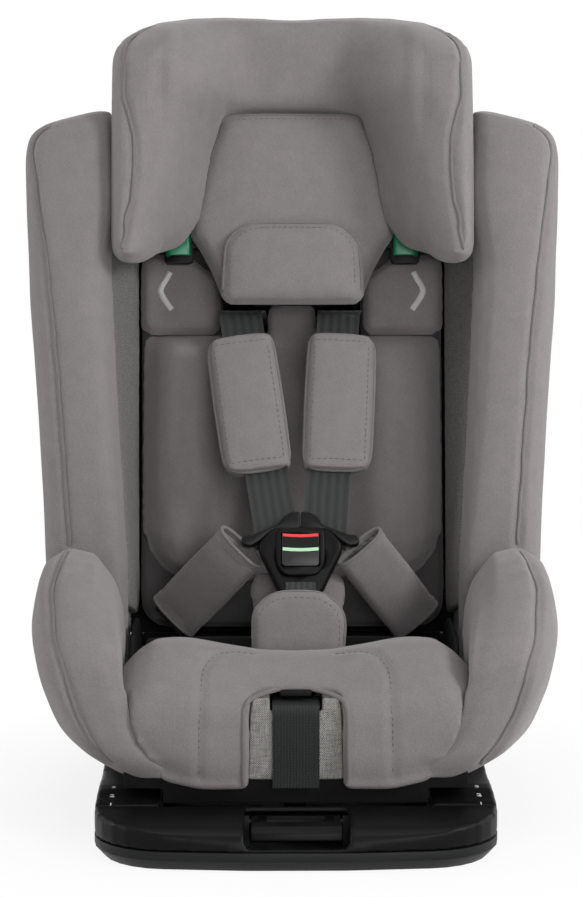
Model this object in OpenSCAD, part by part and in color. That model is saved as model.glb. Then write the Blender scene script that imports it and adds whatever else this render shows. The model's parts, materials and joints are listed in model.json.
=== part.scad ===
/* [Base] */
// Width of the base across its sides
base_w = 326; // [310:1:340]
// Front of the base, measured forward from the origin
base_front = 268; // [262:1:276]
// Rear of the base, measured back from the origin
base_rear = 185; // [178:1:192]
// Depth of the front edge at its two ends
corner_y = -258; // [-262:1:-252]
// Radius of the front corners in plan
corner_r = 62; // [54:1:70]
// Height of the parting line between tray and cover
seam_z = 16; // [15.5:0.5:18]
// Wall of the moulded base shells
base_wall = 3.5; // [3:0.1:4]
// Floor of the tray
tray_floor = 3; // [2.5:0.1:3.2]
// Height of the toe at the front edge
toe_front = 28; // [26:0.5:29]
// Height of the toe where the seat starts
toe_back = 34; // [32:0.5:35]
// Top of the base at its rear
base_top = 80; // [74:1:86]

/* [Recline] */
// Height of the seat's underside at its lowest
seat_low = 42; // [40:0.5:44]
// Position of the recline centre from front to back
pivot_y = -100; // [-106:1:-94]
// Radius of the seat's underside about the recline centre
seat_r = 598; // [594:0.5:600]
// Gap between the seat's underside and the base
deck_gap = 3; // [2.5:0.1:5]
// How far the path of the guide pins lies below the seat's underside
pin_drop = 22; // [20:0.5:23]
// Diameter of a guide pin
pin_d = 10; // [8:0.1:10.4]
// Running clearance of the pins in their slots
run_clear = 0.25; // [0.2:0.05:0.5]
// Step between two recline positions, degrees
step_deg = 3.5; // [3:0.1:3.6]
// Number of recline positions
recline_n = 4; // [3:1:4]

/* [Recline handle] */
// Width of the grip
grip_w = 72; // [60:1:76]
// Pivot of the handle from front to back
lever_y = -188; // [-190:0.5:-186]
// Height of the handle's pivot
lever_z = 21; // [20:0.5:22]
// Diameter of the handle's pivot pin
lever_pin_d = 6; // [5:0.1:7]

/* [Lower anchors] */
// Distance between the two anchor connectors
anchor_pitch = 280; // [278:0.5:282]
// Height of the anchor bar above the floor
anchor_z = 17; // [16:0.5:18]
// Radius of the slot that takes the anchor bar
anchor_slot_r = 3.1; // [3.05:0.01:3.2]
// Width of a connector
anchor_w = 25; // [22:0.5:26]
// Height of a connector
anchor_h = 31; // [28:0.5:32]
// How far the connectors stand out behind the base
anchor_out = 42; // [38:1:50]
// Diameter of the jaws' pivot pins
jaw_pin_d = 4; // [3:0.1:4.4]

/* [Seat] */
// Width of the seat pan
pan_w = 280; // [272:1:286]
// Front of the seat pan
pan_front = -186; // [-188:0.5:-184]
// Rear of the seat pan
pan_rear = 128; // [122:1:132]
// Wall of the seat pan
pan_wall = 4; // [3:0.1:5]
// Height at which the seat cushion rests
cushion_z = 95; // [93:0.5:97]
// Top of the seat cushion
seat_top = 152; // [146:1:158]
// Front of the seat cushion
seat_front = -203; // [-208:0.5:-200]
// Width over the two side bolsters
bolster_w = 442; // [436:1:448]
// Width of the arched opening in the front of the cushion
arch_w = 80; // [76:0.5:84]
// Top of the arched opening
arch_top = 135; // [133:0.5:137]
// Half width of the seat cushion at the foot of its front
seam_low = 107; // [102:0.5:112]
// Top of the side bolsters
bolster_top = 230; // [224:1:236]

/* [Back] */
// Lean of the back from the vertical, degrees
back_tilt = 15; // [13:0.5:16]
// Foot of the back from front to back
back_y = 85; // [82:0.5:88]
// Foot of the back above the floor
back_z = 120; // [118:0.5:122]
// Height of the side wings along the back
wing_top = 470; // [462:1:476]
// Half width over the side wings at the top
wing_half = 240; // [237:1:244]
// Reach of the side wings in front of the back
wing_reach = 138; // [130:1:142]
// Distance of the shell's side plates from the middle
plate_x = 186; // [182:0.5:188]

/* [Headrest] */
// Half width of the headrest
head_half = 165; // [160:0.5:166]
// Top of the headrest along the back
head_top = 563; // [558:1:570]
// Foot of the headrest's lower pad
head_foot = 297; // [296.5:0.5:300]
// Distance of the belt guides from the middle
guide_x = 103; // [101:0.5:106]
// Diameter of the headrest's guide rods
rod_d = 10; // [8:0.1:12]
// Distance of the guide rods from the middle
rod_x = 70; // [68:0.5:74]
// Distance between two headrest notches
notch_pitch = 25; // [20:0.5:30]

/* [Harness] */
// Width of the webbing
web_w = 38; // [36:0.5:40]
// Width of the crotch strap
crotch_w = 28; // [25:0.5:30]
// Thickness of the webbing
web_t = 2; // [1.6:0.1:2.2]
// Sideways place of the buckle
buckle_x = 6; // [0:0.5:8]
// Height of the buckle's middle
buckle_z = 210; // [206:0.5:214]
// Lean of the buckle, degrees
buckle_tilt = 20; // [16:0.5:24]
// Width of a shoulder pad
pad_w = 61; // [56:0.5:63]
// How far a shoulder pad sits outward of its strap
pad_off = 4; // [2:0.5:6]
// Length of a shoulder pad
pad_len = 130; // [120:1:136]
// Width of a hip pad
hip_w = 50; // [46:0.5:52]
// Length of a hip pad
hip_len = 96; // [88:1:100]

// Reach of the seat's front skirt below the pan
skirt_h = 12; // [10:0.5:13]

/* [Harness adjuster] */
// Width of the adjuster's housing
adj_w = 58; // [54:1:62]
// Depth of the adjuster's housing
adj_d = 34; // [30:1:36]
// Top of the adjuster's housing
adj_top = 131; // [130:0.5:132]

/* [Fits] */
// Gap between pieces that are seated on each other
seat_gap = 0.3; // [0.2:0.05:0.5]
// Radial clearance round a pin or a rod
bore_clear = 0.1; // [0.05:0.01:0.2]

/* [Hidden] */
$fn = 48;
deck_r = seat_r + deck_gap;
pivot_z = seat_low + seat_r;
pin_path_r = seat_r + pin_drop;
tooth_y = -137;
span = step_deg * (recline_n - 1);
pin_a = [asin(100.2 / pin_path_r), asin(189.5 / pin_path_r)];
notch_a = -asin((pivot_y - tooth_y) / (seat_r + 10));
half_in = pan_w / 2;
seat_half = half_in - 7;
rail_x = 112;
runner_x = rail_x - 3;
arm_x = anchor_pitch / 2;
grey = [0.53, 0.51, 0.5];
knit = [0.42, 0.42, 0.4];
black = [0.07, 0.07, 0.075];
steel = [0.62, 0.63, 0.65];
web = [0.1, 0.1, 0.105];

function unit(v) = v / norm(v);
function mix(a, b, t) = a + (b - a) * t;

// Points of one rounded corner at b between the edges to a and c
function corner(a, b, c, r, n) =
  let (u = unit(a - b), v = unit(c - b))
  let (half = acos(max(-1, min(1, u * v))) / 2)
  let (ctr = b + unit(u + v) * (r / sin(half)))
  let (p = b + u * (r / tan(half)) - ctr, q = b + v * (r / tan(half)) - ctr)
  let (a0 = atan2(p[1], p[0]), d = atan2(q[1], q[0]) - a0)
  let (turn = d > 180 ? d - 360 : d < -180 ? d + 360 : d)
  [for (i = [0:n]) ctr + r * [cos(a0 + turn * i / n), sin(a0 + turn * i / n)]];

// A closed outline with its corners rounded, r one radius or one per corner
function rounded(p, r, n = 5) =
  let (m = len(p))
  [for (i = [0:m - 1])
    each corner(p[(i + m - 1) % m], p[i], p[(i + 1) % m], is_list(r) ? r[i] : r, n)];

function box2(x0, y0, x1, y1) = [[x0, y0], [x1, y0], [x1, y1], [x0, y1]];
function mid(p) = [for (k = [0:len(p[0]) - 1]) (max([for (q = p) q[k]]) + min([for (q = p) q[k]])) / 2];
function shrink(p, f, c) = [for (q = p) c + (q - c) * f];

// A closed skin over rings that run counter-clockwise seen from the far end
// A hollow end is given as two, split between two of its points
module skin(rings, flip = false, split = []) {
  n = len(rings[0]);
  m = len(rings);
  ends = len(split) == 0 ? [[for (j = [0:n - 1]) j]]
    : [[for (j = [split[0]:split[1]]) j], [for (j = [split[1]:n - 1]) j, for (j = [0:split[0]]) j]];
  pts = [for (r = rings, j = [0:n - 1]) r[flip ? n - 1 - j : j]];
  faces = concat(ends,
    [for (i = [0:m - 2], j = [0:n - 1]) [i * n + j, (i + 1) * n + j, (i + 1) * n + (j + 1) % n]],
    [for (i = [0:m - 2], j = [0:n - 1]) [i * n + j, (i + 1) * n + (j + 1) % n, i * n + (j + 1) % n]],
    [for (e = ends) [for (j = [len(e) - 1:-1:0]) (m - 1) * n + e[j]]]);
  polyhedron(pts, faces, convexity = 6);
}

// A stuffed slab: outline p in the plane, lying from y0 forward by t, crowned in front
module pillow(p, y0, t, edge = 0.9, crown = 0.72) {
  c = mid(p);
  steps = [[edge, 0], [1, 0.22], [1, 0.5], [mix(1, crown, 0.35), 0.78], [crown, 0.94], [crown * 0.5, 1]];
  skin([for (s = steps) [for (q = shrink(p, s[0], c)) [q[0], y0 - t * s[1], q[1]]]], flip = false);
}

module extrude_x(w) rotate([90, 0, 90]) linear_extrude(w, center = true) children();
module plate_y(y0, y1) translate([0, y1, 0]) rotate([90, 0, 0]) linear_extrude(y1 - y0) children();
module block(x0, x1, y0, y1, z0, z1) translate([x0, y0, z0]) cube([x1 - x0, y1 - y0, z1 - z0]);
module rod_x_axis(x0, x1, y, z, d) translate([x0, y, z]) rotate([0, 90, 0]) cylinder(h = x1 - x0, d = d);
module in_back() translate([0, back_y, back_z]) rotate([-back_tilt, 0, 0]) children();
module in_buckle() translate([buckle_x, 0, buckle_z]) rotate([-buckle_tilt, 0, 0]) children();
module left_side() mirror([1, 0, 0]) children();
module both() {
  children();
  mirror([1, 0, 0]) children();
}

// World place of a point given in the back's own frame, and in the buckle's
function at_back(x, y, s) = [x, back_y + y * cos(back_tilt) + s * sin(back_tilt),
  back_z - y * sin(back_tilt) + s * cos(back_tilt)];
function at_buckle(x, y, z) = [buckle_x + x, y * cos(buckle_tilt) + z * sin(buckle_tilt),
  buckle_z - y * sin(buckle_tilt) + z * cos(buckle_tilt)];

// A cylinder about the recline axis, and a bar bent about it
module about_pivot(r, x0, x1) rod_x_axis(x0, x1, pivot_y, pivot_z, 2 * r, $fn = 240);
module arc_bar(r0, r1, x0, x1, y0, y1) difference() {
  intersection() {
    about_pivot(r1, x0, x1);
    block(x0 - 1, x1 + 1, y0, y1, -10, 150);
  }
  about_pivot(r0, x0 - 2, x1 + 2);
}
function on_arc(r, a) = [pivot_y + r * sin(a), pivot_z - r * cos(a)];

// Flat webbing along a path of points, its width along the given direction
module webbing(path, side, w = web_w, t = web_t) {
  n = len(path);
  dirs = [for (i = [0:n - 1]) unit(path[min(i + 1, n - 1)] - path[max(i - 1, 0)])];
  rings = [for (i = [0:n - 1])
    let (u = unit(side - (side * dirs[i]) * dirs[i]), v = cross(dirs[i], u))
    [for (k = [[-1, -1], [1, -1], [1, 1], [-1, 1]]) path[i] + u * k[0] * w / 2 + v * k[1] * t / 2]];
  skin(rings);
}

// A frame standing at a with its length towards b and its width along side
module along(a, b, side) {
  w = unit(b - a);
  u = unit(side - (side * w) * w);
  v = cross(w, u);
  multmatrix([[u[0], v[0], w[0], a[0]], [u[1], v[1], w[1], a[1]], [u[2], v[2], w[2], a[2]], [0, 0, 0, 1]])
    children();
}

// A stitched tube pad of length len with a flat slot for the webbing through it
module tube_pad(w, t, len, z0, off = 0) difference() {
  skin([for (k = [[0, 0.94], [0.02, 1], [0.08, 0.98], [0.16, 1], [0.5, 1.02], [0.84, 1], [0.92, 0.98],
      [0.98, 1], [1, 0.94]])
    [for (q = rounded(box2(-w / 2, -t / 2, w / 2, t / 2), t * 0.42, 3)) [off + q[0] * k[1],
        q[1] * k[1], z0 + len * k[0]]]]);
  translate([-web_w / 2 - 1, -web_t / 2 - 0.6, z0 - 1]) cube([web_w + 2, web_t + 1.2, len + 2]);
}

/* Base */

function base_outline(i) = let (h = base_w / 2 - i)
  rounded([[h, base_rear - i], [-h, base_rear - i], [-h, corner_y + i], [-40, -base_front + i],
    [40, -base_front + i], [h, corner_y + i]],
    [18, 18, corner_r, 200, 200, corner_r] - [1, 1, 1, 1, 1, 1] * i, 6);

screw_at = [[-95, -212], [95, -212], [-62, 165], [62, 165]];
foot_at = [[-118, -150], [118, -150], [-85, 110], [85, 110]];

module base_tray() color(black) {
  difference() {
    union() {
      hull() {
        linear_extrude(1) polygon(base_outline(8));
        translate([0, 0, 9]) linear_extrude(seam_z - 9) polygon(base_outline(0));
      }
    }
    translate([0, 0, tray_floor]) linear_extrude(30) polygon(base_outline(base_wall + 5));
    for (p = foot_at)
      block(p[0] - 20.2, p[0] + 20.2, p[1] - 8.2, p[1] + 8.2, -1, 1.2);
    for (p = screw_at) {
      translate([p[0], p[1], -1]) cylinder(h = 8, d = 3.6);
      translate([p[0], p[1], -1]) cylinder(h = 2.6, d = 8);
    }
    both() block(arm_x - anchor_w / 2 - 1, arm_x + anchor_w / 2 + 1, base_rear - 22, base_rear + 5,
        1.2, 40);
  }
  both() difference() {
    block(38, 47, lever_y - 8, lever_y + 8, tray_floor - 0.5, lever_z + 7);
    rod_x_axis(30, 50, lever_y, lever_z, lever_pin_d + 2 * bore_clear);
  }
  both() {
    block(rail_x + 3 + seat_gap, rail_x + 12, -148, -132, tray_floor - 0.5, 26);
    block(rail_x + 3 + seat_gap, rail_x + 12, 106, 120, tray_floor - 0.5, 52);
  }
}

module base_mass(i) difference() {
  translate([0, 0, seam_z - (i > 0 ? 2 : 0)]) linear_extrude(base_top - seam_z - i + (i > 0 ? 2 : 0))
    polygon(base_outline(i));
  about_pivot(deck_r + i, -200, 200);
  extrude_x(400)
    polygon([[-300, toe_front - 12 - i], [-base_front - 1, toe_front - 12 - i], [-base_front + 6,
        toe_front - 2 - i],
      [-base_front + 16, toe_front + 1 - i], [-196 + i, toe_back - i], [-196 + i, 200], [-300, 200]]);
}

module base_cover() color(black) {
  difference() {
    base_mass(0);
    base_mass(base_wall);
    block(-rail_x + 1.5, rail_x - 1.5, -196, 135, seam_z - 1, 120);
    block(-grip_w / 2 - 5, grip_w / 2 + 5, -base_front - 5, -204, seam_z + 3, 60);
    both() block(arm_x - anchor_w / 2 - 1, arm_x + anchor_w / 2 + 1, base_rear - 12, base_rear + 5, 0,
      anchor_z + anchor_h / 2 + 3);
  }
  for (p = screw_at)
    difference() {
      translate([p[0], p[1], tray_floor + seat_gap]) cylinder(h = 26, d = 12);
      translate([p[0], p[1], 0]) cylinder(h = 18, d = 3 + 2 * bore_clear);
      about_pivot(deck_r + 1, -200, 200);
    }
}

module base_feet() color([0.03, 0.03, 0.03])
  for (p = foot_at) block(p[0] - 20, p[0] + 20, p[1] - 8, p[1] + 8, 0, 1);

module base_screws() color(steel)
  for (p = screw_at) translate([p[0], p[1], 0]) {
    translate([0, 0, 0.2]) cylinder(h = 1.3, d = 7);
    translate([0, 0, 1]) cylinder(h = 15, d = 3);
  }

module rail() color(steel) difference() {
  arc_bar(pin_path_r - 11, pin_path_r + 11, rail_x, rail_x + 3, -172, 122);
  intersection() {
    difference() {
      about_pivot(pin_path_r + pin_d / 2 + run_clear, rail_x - 1, rail_x + 4);
      about_pivot(pin_path_r - pin_d / 2 - run_clear, rail_x - 2, rail_x + 5);
    }
    extrude_x(400) polygon([[pivot_y, pivot_z], on_arc(800, pin_a[0] - span - 0.2), on_arc(800,
        pin_a[1] + 0.2)]);
  }
  for (a = [pin_a[0] - span - 0.2, pin_a[1] + 0.2])
    rod_x_axis(rail_x - 1, rail_x + 4, on_arc(pin_path_r, a)[0], on_arc(pin_path_r, a)[1],
        pin_d + 2 * run_clear);
}
module recline_rail_right() rail();
module recline_rail_left() left_side() rail();

module handle_pin() color(steel) rod_x_axis(-47, 47, lever_y, lever_z, lever_pin_d);

module recline_handle() color(black) {
  extrude_x(grip_w) polygon(rounded([[-249, 20], [-247, 27], [-241, 31], [-230, 32], [-225, 29.5],
    [-229, 26], [-237, 24.5], [-242, 20]], 1.6, 3));
  difference() {
    union() {
      both() block(grip_w / 2 - 12, grip_w / 2 - 5, -232, lever_y, lever_z - 3, lever_z + 6);
      rod_x_axis(-36, 36, lever_y, lever_z, 14);
      block(-9, 9, lever_y, tooth_y + 5, lever_z - 5, lever_z + 3);
      block(-8, 8, tooth_y - 4, tooth_y + 4, lever_z - 5, 31.5);
    }
    rod_x_axis(-50, 50, lever_y, lever_z, lever_pin_d + 2 * bore_clear);
  }
}

/* Lower anchors */

module anchor_frame() color(steel) {
  both() difference() {
    block(arm_x - 8, arm_x + 8, -30, base_rear - 20, 5, 25);
    block(arm_x - 6, arm_x + 6, -31, base_rear - 26, 7, 23);
  }
  block(-arm_x + 9, arm_x - 9, -30, -8, 4.5, 8);
  both() block(arm_x - 9.5, arm_x - 7.9, -30, -8, 4.5, 14);
}

slot_y = base_rear + anchor_out - 26;
jaw_pin = [slot_y - 16, anchor_z + 8];
module anchor_housing() color(black) difference() {
  union() {
    block(arm_x - anchor_w / 2, arm_x + anchor_w / 2, base_rear - 19.7, base_rear + anchor_out - 10,
      anchor_z - anchor_h / 2, anchor_z + anchor_h / 2);
    translate([arm_x, 0, 0]) extrude_x(anchor_w) polygon(rounded([
      [base_rear + anchor_out - 12, anchor_z - anchor_h / 2], [base_rear + anchor_out,
          anchor_z - anchor_h / 2],
      [base_rear + anchor_out, anchor_z + anchor_h / 2 - 6], [base_rear + anchor_out - 8,
          anchor_z + anchor_h / 2],
      [base_rear + anchor_out - 12, anchor_z + anchor_h / 2]], [0.5, 4, 3, 3, 0.5], 4));
  }
  // Slot for the vehicle's anchor bar, with a flared mouth
  rod_x_axis(arm_x - 20, arm_x + 20, slot_y, anchor_z, 2 * anchor_slot_r);
  block(arm_x - 20, arm_x + 20, slot_y, base_rear + anchor_out + 1, anchor_z - anchor_slot_r,
      anchor_z + anchor_slot_r);
  translate([arm_x, 0, 0]) extrude_x(40) polygon([[slot_y + 14, anchor_z], [base_rear + anchor_out + 1,
      anchor_z - 9],
    [base_rear + anchor_out + 1, anchor_z + 9]]);
  // Room for the jaw, and the slide of the button
  for (b = [[slot_y - 30, slot_y - 6, -2], [slot_y - 7, slot_y + 3.6, anchor_slot_r + 0.35],
      [slot_y + 3.5, base_rear + anchor_out + 1, -10]])
    block(arm_x - 5.4, arm_x + 5.4, b[0], b[1], anchor_z + b[2], anchor_z + anchor_h / 2 + 1);
  rod_x_axis(arm_x - 20, arm_x + 20, jaw_pin[0], jaw_pin[1], jaw_pin_d + 2 * bore_clear);
  block(arm_x - 8.3, arm_x + 8.3, slot_y - 36, slot_y - 9, anchor_z + anchor_h / 2 - 2.6,
      anchor_z + anchor_h / 2 + 1);
}
module anchor_housing_right() anchor_housing();
module anchor_housing_left() left_side() anchor_housing();

module anchor_pins() color(steel) both()
  rod_x_axis(arm_x - anchor_w / 2, arm_x + anchor_w / 2, jaw_pin[0], jaw_pin[1], jaw_pin_d);

module anchor_jaw() color(steel) difference() {
  translate([arm_x, 0, 0]) extrude_x(9.6) polygon(rounded([
    [jaw_pin[0] - 6, jaw_pin[1] - 5], [slot_y - 5, anchor_z + 3.8], [slot_y + 4.2, anchor_z + 3.8],
    [slot_y + 5, anchor_z - 3], [slot_y + 9, anchor_z - 3], [slot_y + 13, anchor_z + 5],
    [slot_y + 6, anchor_z + 10], [jaw_pin[0] + 7, jaw_pin[1] + 2.4], [jaw_pin[0] - 4,
        jaw_pin[1] + 3.6]], 1, 3));
  rod_x_axis(arm_x - 20, arm_x + 20, jaw_pin[0], jaw_pin[1], jaw_pin_d + 2 * bore_clear);
}
module anchor_jaw_right() anchor_jaw();
module anchor_jaw_left() left_side() anchor_jaw();

module anchor_button() color([0.55, 0.1, 0.08]) {
  block(arm_x - 8, arm_x + 8, slot_y - 27, slot_y - 9.5, anchor_z + anchor_h / 2 - 2.3,
      anchor_z + anchor_h / 2);
  for (k = [0:3])
    block(arm_x - 8, arm_x + 8, slot_y - 26 + 4 * k, slot_y - 24.4 + 4 * k, anchor_z + anchor_h / 2 - 1,
      anchor_z + anchor_h / 2 + 1.2);
}
module anchor_button_right() anchor_button();
module anchor_button_left() left_side() anchor_button();

/* Seat pan and carriage */

module seat_pan() color(black) {
  difference() {
    intersection() {
      block(-pan_w / 2, pan_w / 2, pan_front, pan_rear, 30, 118);
      about_pivot(seat_r, -200, 200);
    }
    intersection() {
      block(-pan_w / 2 + pan_wall, pan_w / 2 - pan_wall, pan_front + pan_wall, pan_rear - pan_wall, 30,
          130);
      about_pivot(seat_r - pan_wall, -200, 200);
    }
    extrude_x(400) polygon([[-300, cushion_z - seat_gap], [-126, cushion_z - seat_gap], [-96, 118],
        [-96, 140], [-300, 140]]);
    block(-23, 23, 100, 140, 96, 130);
  }
  difference() {
    union() {
      for (x = [-92, -46, 46, 92]) block(x - 1.5, x + 1.5, pan_front + 2, pan_rear - 2, 30,
          cushion_z - seat_gap);
      for (y = [-120, -62, 0, 62]) block(-pan_w / 2 + 2, pan_w / 2 - 2, y - 1.5, y + 1.5, 30,
          cushion_z - seat_gap);
    }
    difference() {
      block(-200, 200, -220, 200, 0, 140);
      about_pivot(seat_r - 2, -210, 210);
    }
    block(-24, 24, -170, 140, 78, 100);
  }
  // Skirt that hides the gap above the base
  intersection() {
    block(4 - rail_x, rail_x - 4, pan_front, pan_front + 3, 30, 60);
    about_pivot(seat_r + skirt_h, -200, 200);
  }
  // Side walls that rise beside the liner, flange and side plates that carry the bolsters and wings
  both() {
    translate([pan_w / 2 - pan_wall / 2, 0, 0]) extrude_x(pan_wall)
      polygon([[-95, 100], [-95, 117], [-62, 150], [24, 150], [62, 138], [100, 117], [100, 100]]);
    block(pan_w / 2 - 2, 180, -118, 60, 68, 72);
    block(176, 180, -118, -36, 68, 178);
  }
}

module recline_carriage() color(black) difference() {
  union() {
    both() arc_bar(seat_r + seat_gap, pin_path_r + 7, runner_x - 13, runner_x, -32, 112);
    arc_bar(seat_r + seat_gap, seat_r + 10, -9, 9, -146, 20);
    arc_bar(seat_r + seat_gap, seat_r + 6, -runner_x + 1, runner_x - 1, -20, 0);
    arc_bar(seat_r + seat_gap, seat_r + 6, -runner_x + 1, runner_x - 1, 80, 104);
  }
  for (a = pin_a)
    rod_x_axis(-150, 150, on_arc(pin_path_r, a)[0], on_arc(pin_path_r, a)[1], pin_d + 2 * bore_clear);
  // Notches of the recline positions
  for (k = [0:recline_n - 1])
    translate([0, pivot_y, pivot_z]) rotate([notch_a + k * step_deg, 0, 0])
      block(-20, 20, -5, 5, -seat_r - 22, -seat_r - 5);
}

module carriage_pins() color(steel) for (a = pin_a)
  both() rod_x_axis(runner_x - 12, rail_x + 4, on_arc(pin_path_r, a)[0], on_arc(pin_path_r, a)[1], pin_d);

/* Back */

module back_shell() color(black) in_back() {
  difference() {
    union() {
      plate_y(30, 36) polygon(rounded(box2(-190, 8, 190, 458), [6, 6, 40, 40], 5));
      both() {
        plate_x_side();
        block(104, 107, 5 + seat_gap, 31, 30, 440);
        block(131, 134, 5 + seat_gap, 31, 30, 440);
      }
      both() {
        block(rod_x - 10, rod_x + 10, 35, 62, 440, 452);
        block(rod_x - 10, rod_x + 10, 35, 62, 170, 182);
      }
    }
    both() block(18, 65, 20, 40, 262, 439);
    both() translate([rod_x, 50, 160]) cylinder(h = 300, d = rod_d + 2 * bore_clear);
  }
}
module plate_x_side() translate([plate_x, 0, 0])
  translate([2, 0, 0]) extrude_x(4) polygon(rounded(box2(-98, 24, 34, 430), [12, 2, 2, 60], 5));

module headrest_rods() color(steel) in_back() both()
  translate([rod_x, 50, 168]) cylinder(h = 287, d = rod_d);

module headrest_rack() color(steel) in_back() difference() {
  block(-10, 10, 6, 30 - seat_gap, 310, 455);
  for (k = [0:5]) block(-20, 20, 5, 12, 345 - 5 + (k - 1) * notch_pitch, 345 + 5 + (k - 1) * notch_pitch);
}

module back_panel() color(black) in_back() difference() {
  union() {
    plate_y(36 + seat_gap, 41) polygon(rounded(box2(-186, 14, 186, 454), [30, 30, 40, 40], 5));
    plate_y(40, 69) polygon(rounded(box2(-96, 14, 96, 454), 24, 5));
  }
  plate_y(30, 65) polygon(rounded(box2(-91, 18, 91, 456), [20, 20, 2, 2], 5));
  block(-28, 28, 36, 60, 8, 30);
  plate_y(60, 75) polygon(rounded(box2(-34, 105, 34, 205), 16, 5));
}

// Soft wing: half section at height s along the back, for the right side
wing_y = [[-80, -90], [-35, -92], [0, -100], [30, -108], [60, -115], [120, -0.9 * wing_reach],
  [200, -0.96 * wing_reach], [300, -wing_reach], [wing_top - 52, -wing_reach], [wing_top,
      -0.93 * wing_reach]];
wing_o = [[-80, wing_half - 34], [0, wing_half - 26], [75, wing_half - 19.5], [130, wing_half - 18],
    [215, wing_half - 12],
  [300, wing_half - 5], [425, wing_half]];
wing_i = [[-80, half_in + 2], [60, half_in + 5], [200, half_in + 16], [330, half_in + 23], [wing_top,
    half_in + 29]];
function wing_ring(s, f) =
  let (yf = lookup(s, wing_y), xo = lookup(s, wing_o), xi = lookup(s, wing_i), rb = 0.55 * (-88 - yf))
  let (p = rounded([[half_in + 8, 30 - seat_gap], [half_in + 8, -8], [xi + 5.5, -64], [xi + 5.5, -87],
      [xi, -88], [xi, yf],
    [xo - 5, yf], [xo, -40], [xo - 6, 30 - seat_gap]],
    [2, 4, 14, 0.5, 0.8, rb, min(28, rb * 1.5), 60, 14], 3))
  let (k = 0.34 * max(0, (s - 340) / (wing_top - 340)))
  [for (q = shrink(p, f, [192, -50])) [q[0], q[1], s - k * (q[0] - 165)]];

module wing() color(grey) difference() {
  in_back() difference() {
    skin([for (k = [[-80, 1], [-35, 1], [0, 1], [30, 1], [60, 1], [120, 1], [200, 1], [290, 1], [370, 1],
      [wing_top - 30, 1], [wing_top - 13, 0.975], [wing_top - 4, 0.92], [wing_top,
          0.8]]) wing_ring(k[0], k[1])]);
    block(plate_x - seat_gap, plate_x + 4 + seat_gap, -98 - seat_gap, 40, -100, 430 + seat_gap);
  }
  block(100, 260, -60, 56, -20, 72 + seat_gap);
  block(100, 260, 55, 200, -20, 88);
}
module wing_right() wing();
module wing_left() left_side() wing();

function knit_ring(s) = let (xi = lookup(s, wing_i))
  [for (q = rounded([[half_in - 1.5, -9], [xi - 3, -66], [xi - 1, -86], [xi + 5, -86.5], [xi + 4.6,
      -64], [half_in + 7, -9]],
    [1, 8, 1.5, 1.5, 8, 1], 2)) [q[0], q[1], s]];
module knit_panel() color(knit) in_back()
  skin([for (s = [22, 60, 130, 200, 270, 330, 400]) knit_ring(s)]);
module knit_panel_right() knit_panel();
module knit_panel_left() left_side() knit_panel();

module back_liner() color(grey) in_back() difference() {
  plate_y(-10, 5) polygon(rounded(box2(4 - half_in, 12, half_in - 4, 446), [24, 24, 30, 30], 5));
  block(-65, 65, -20, 20, 262, 460);
}

// Back cushion: two upright rolls with a sunk middle
function roll_y(x) = let (u = abs(x) / cush_half)
  u < 0.3 ? mix(-19, -22, u / 0.3) : u < 0.62 ? mix(-22, -37, sin(90 * (u - 0.3) / 0.32)) :
  mix(-37, -14, pow((u - 0.62) / 0.38, 2.6));
cush_n = 18;
cush_half = half_in - 4;
function cushion_ring(s, f, w) = concat(
  [for (i = [0:cush_n]) let (x = -cush_half + 2 * cush_half * i / cush_n) [x * w,
      -10 - seat_gap + (roll_y(x) + 10 + seat_gap) * f, s]],
  [for (i = [0:6]) [cush_half * w * (1 - i / 3), -10 - seat_gap, s]]);
module back_cushion() color(grey) in_back() {
  // The middle runs on between the two straps
  pillow(rounded(box2(-21, 262, 21, 306), [2, 2, 8, 8], 3), -10 - seat_gap, 15, 0.96, 0.86);
  skin([for (k = [[36, 0.3, 0.8], [39, 0.6, 0.88], [48, 0.85, 0.95], [70, 1, 1], [110, 1.03, 1], [155,
      1, 1],
    [200, 1.03, 1], [245, 0.98, 1], [264, 0.8, 1], [272, 0.55, 0.99], [275, 0.3,
        0.98]]) cushion_ring(k[0], k[1], k[2])]);
}

module flap() color(grey) in_back()
  pillow(rounded([[66, 278], [half_in - 3, 278], [half_in - 3, 350], [96, 350], [66, 326]], [7, 10, 10,
      8, 8], 4), -10 - seat_gap, 15,
    0.94, 0.8);
module shoulder_flap_right() flap();
module shoulder_flap_left() left_side() flap();

/* Seat cushions */

seat_edge = half_in - 0.6;
function crown(x) = let (u = abs(x) / seat_edge)
  u < 0.8 ? -2 + 14 * pow(sin(90 * u / 0.8), 3) : 12 - 20 * pow((u - 0.8) / 0.2, 2);
function seat_ring(x) = let (t = seat_top + crown(x), e = abs(x) - seat_edge + 13, b = e > 0 ? e * 0.55 : 0)
  [for (q = rounded([[-62, cushion_z], [-62, t - 24], [-112, t - 6], [-158, t], [seat_front + 3 + b,
      t - 34],
    [seat_front + 1 + b, 74], [seat_front + 5 + b, 51], [pan_front - seat_gap, 51],
        [pan_front - seat_gap, cushion_z]],
    [2, 10, 30, 26, 34, 30, 1.5, 1.5, 0.5], 3)) [x, q[0], q[1]]];
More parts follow.
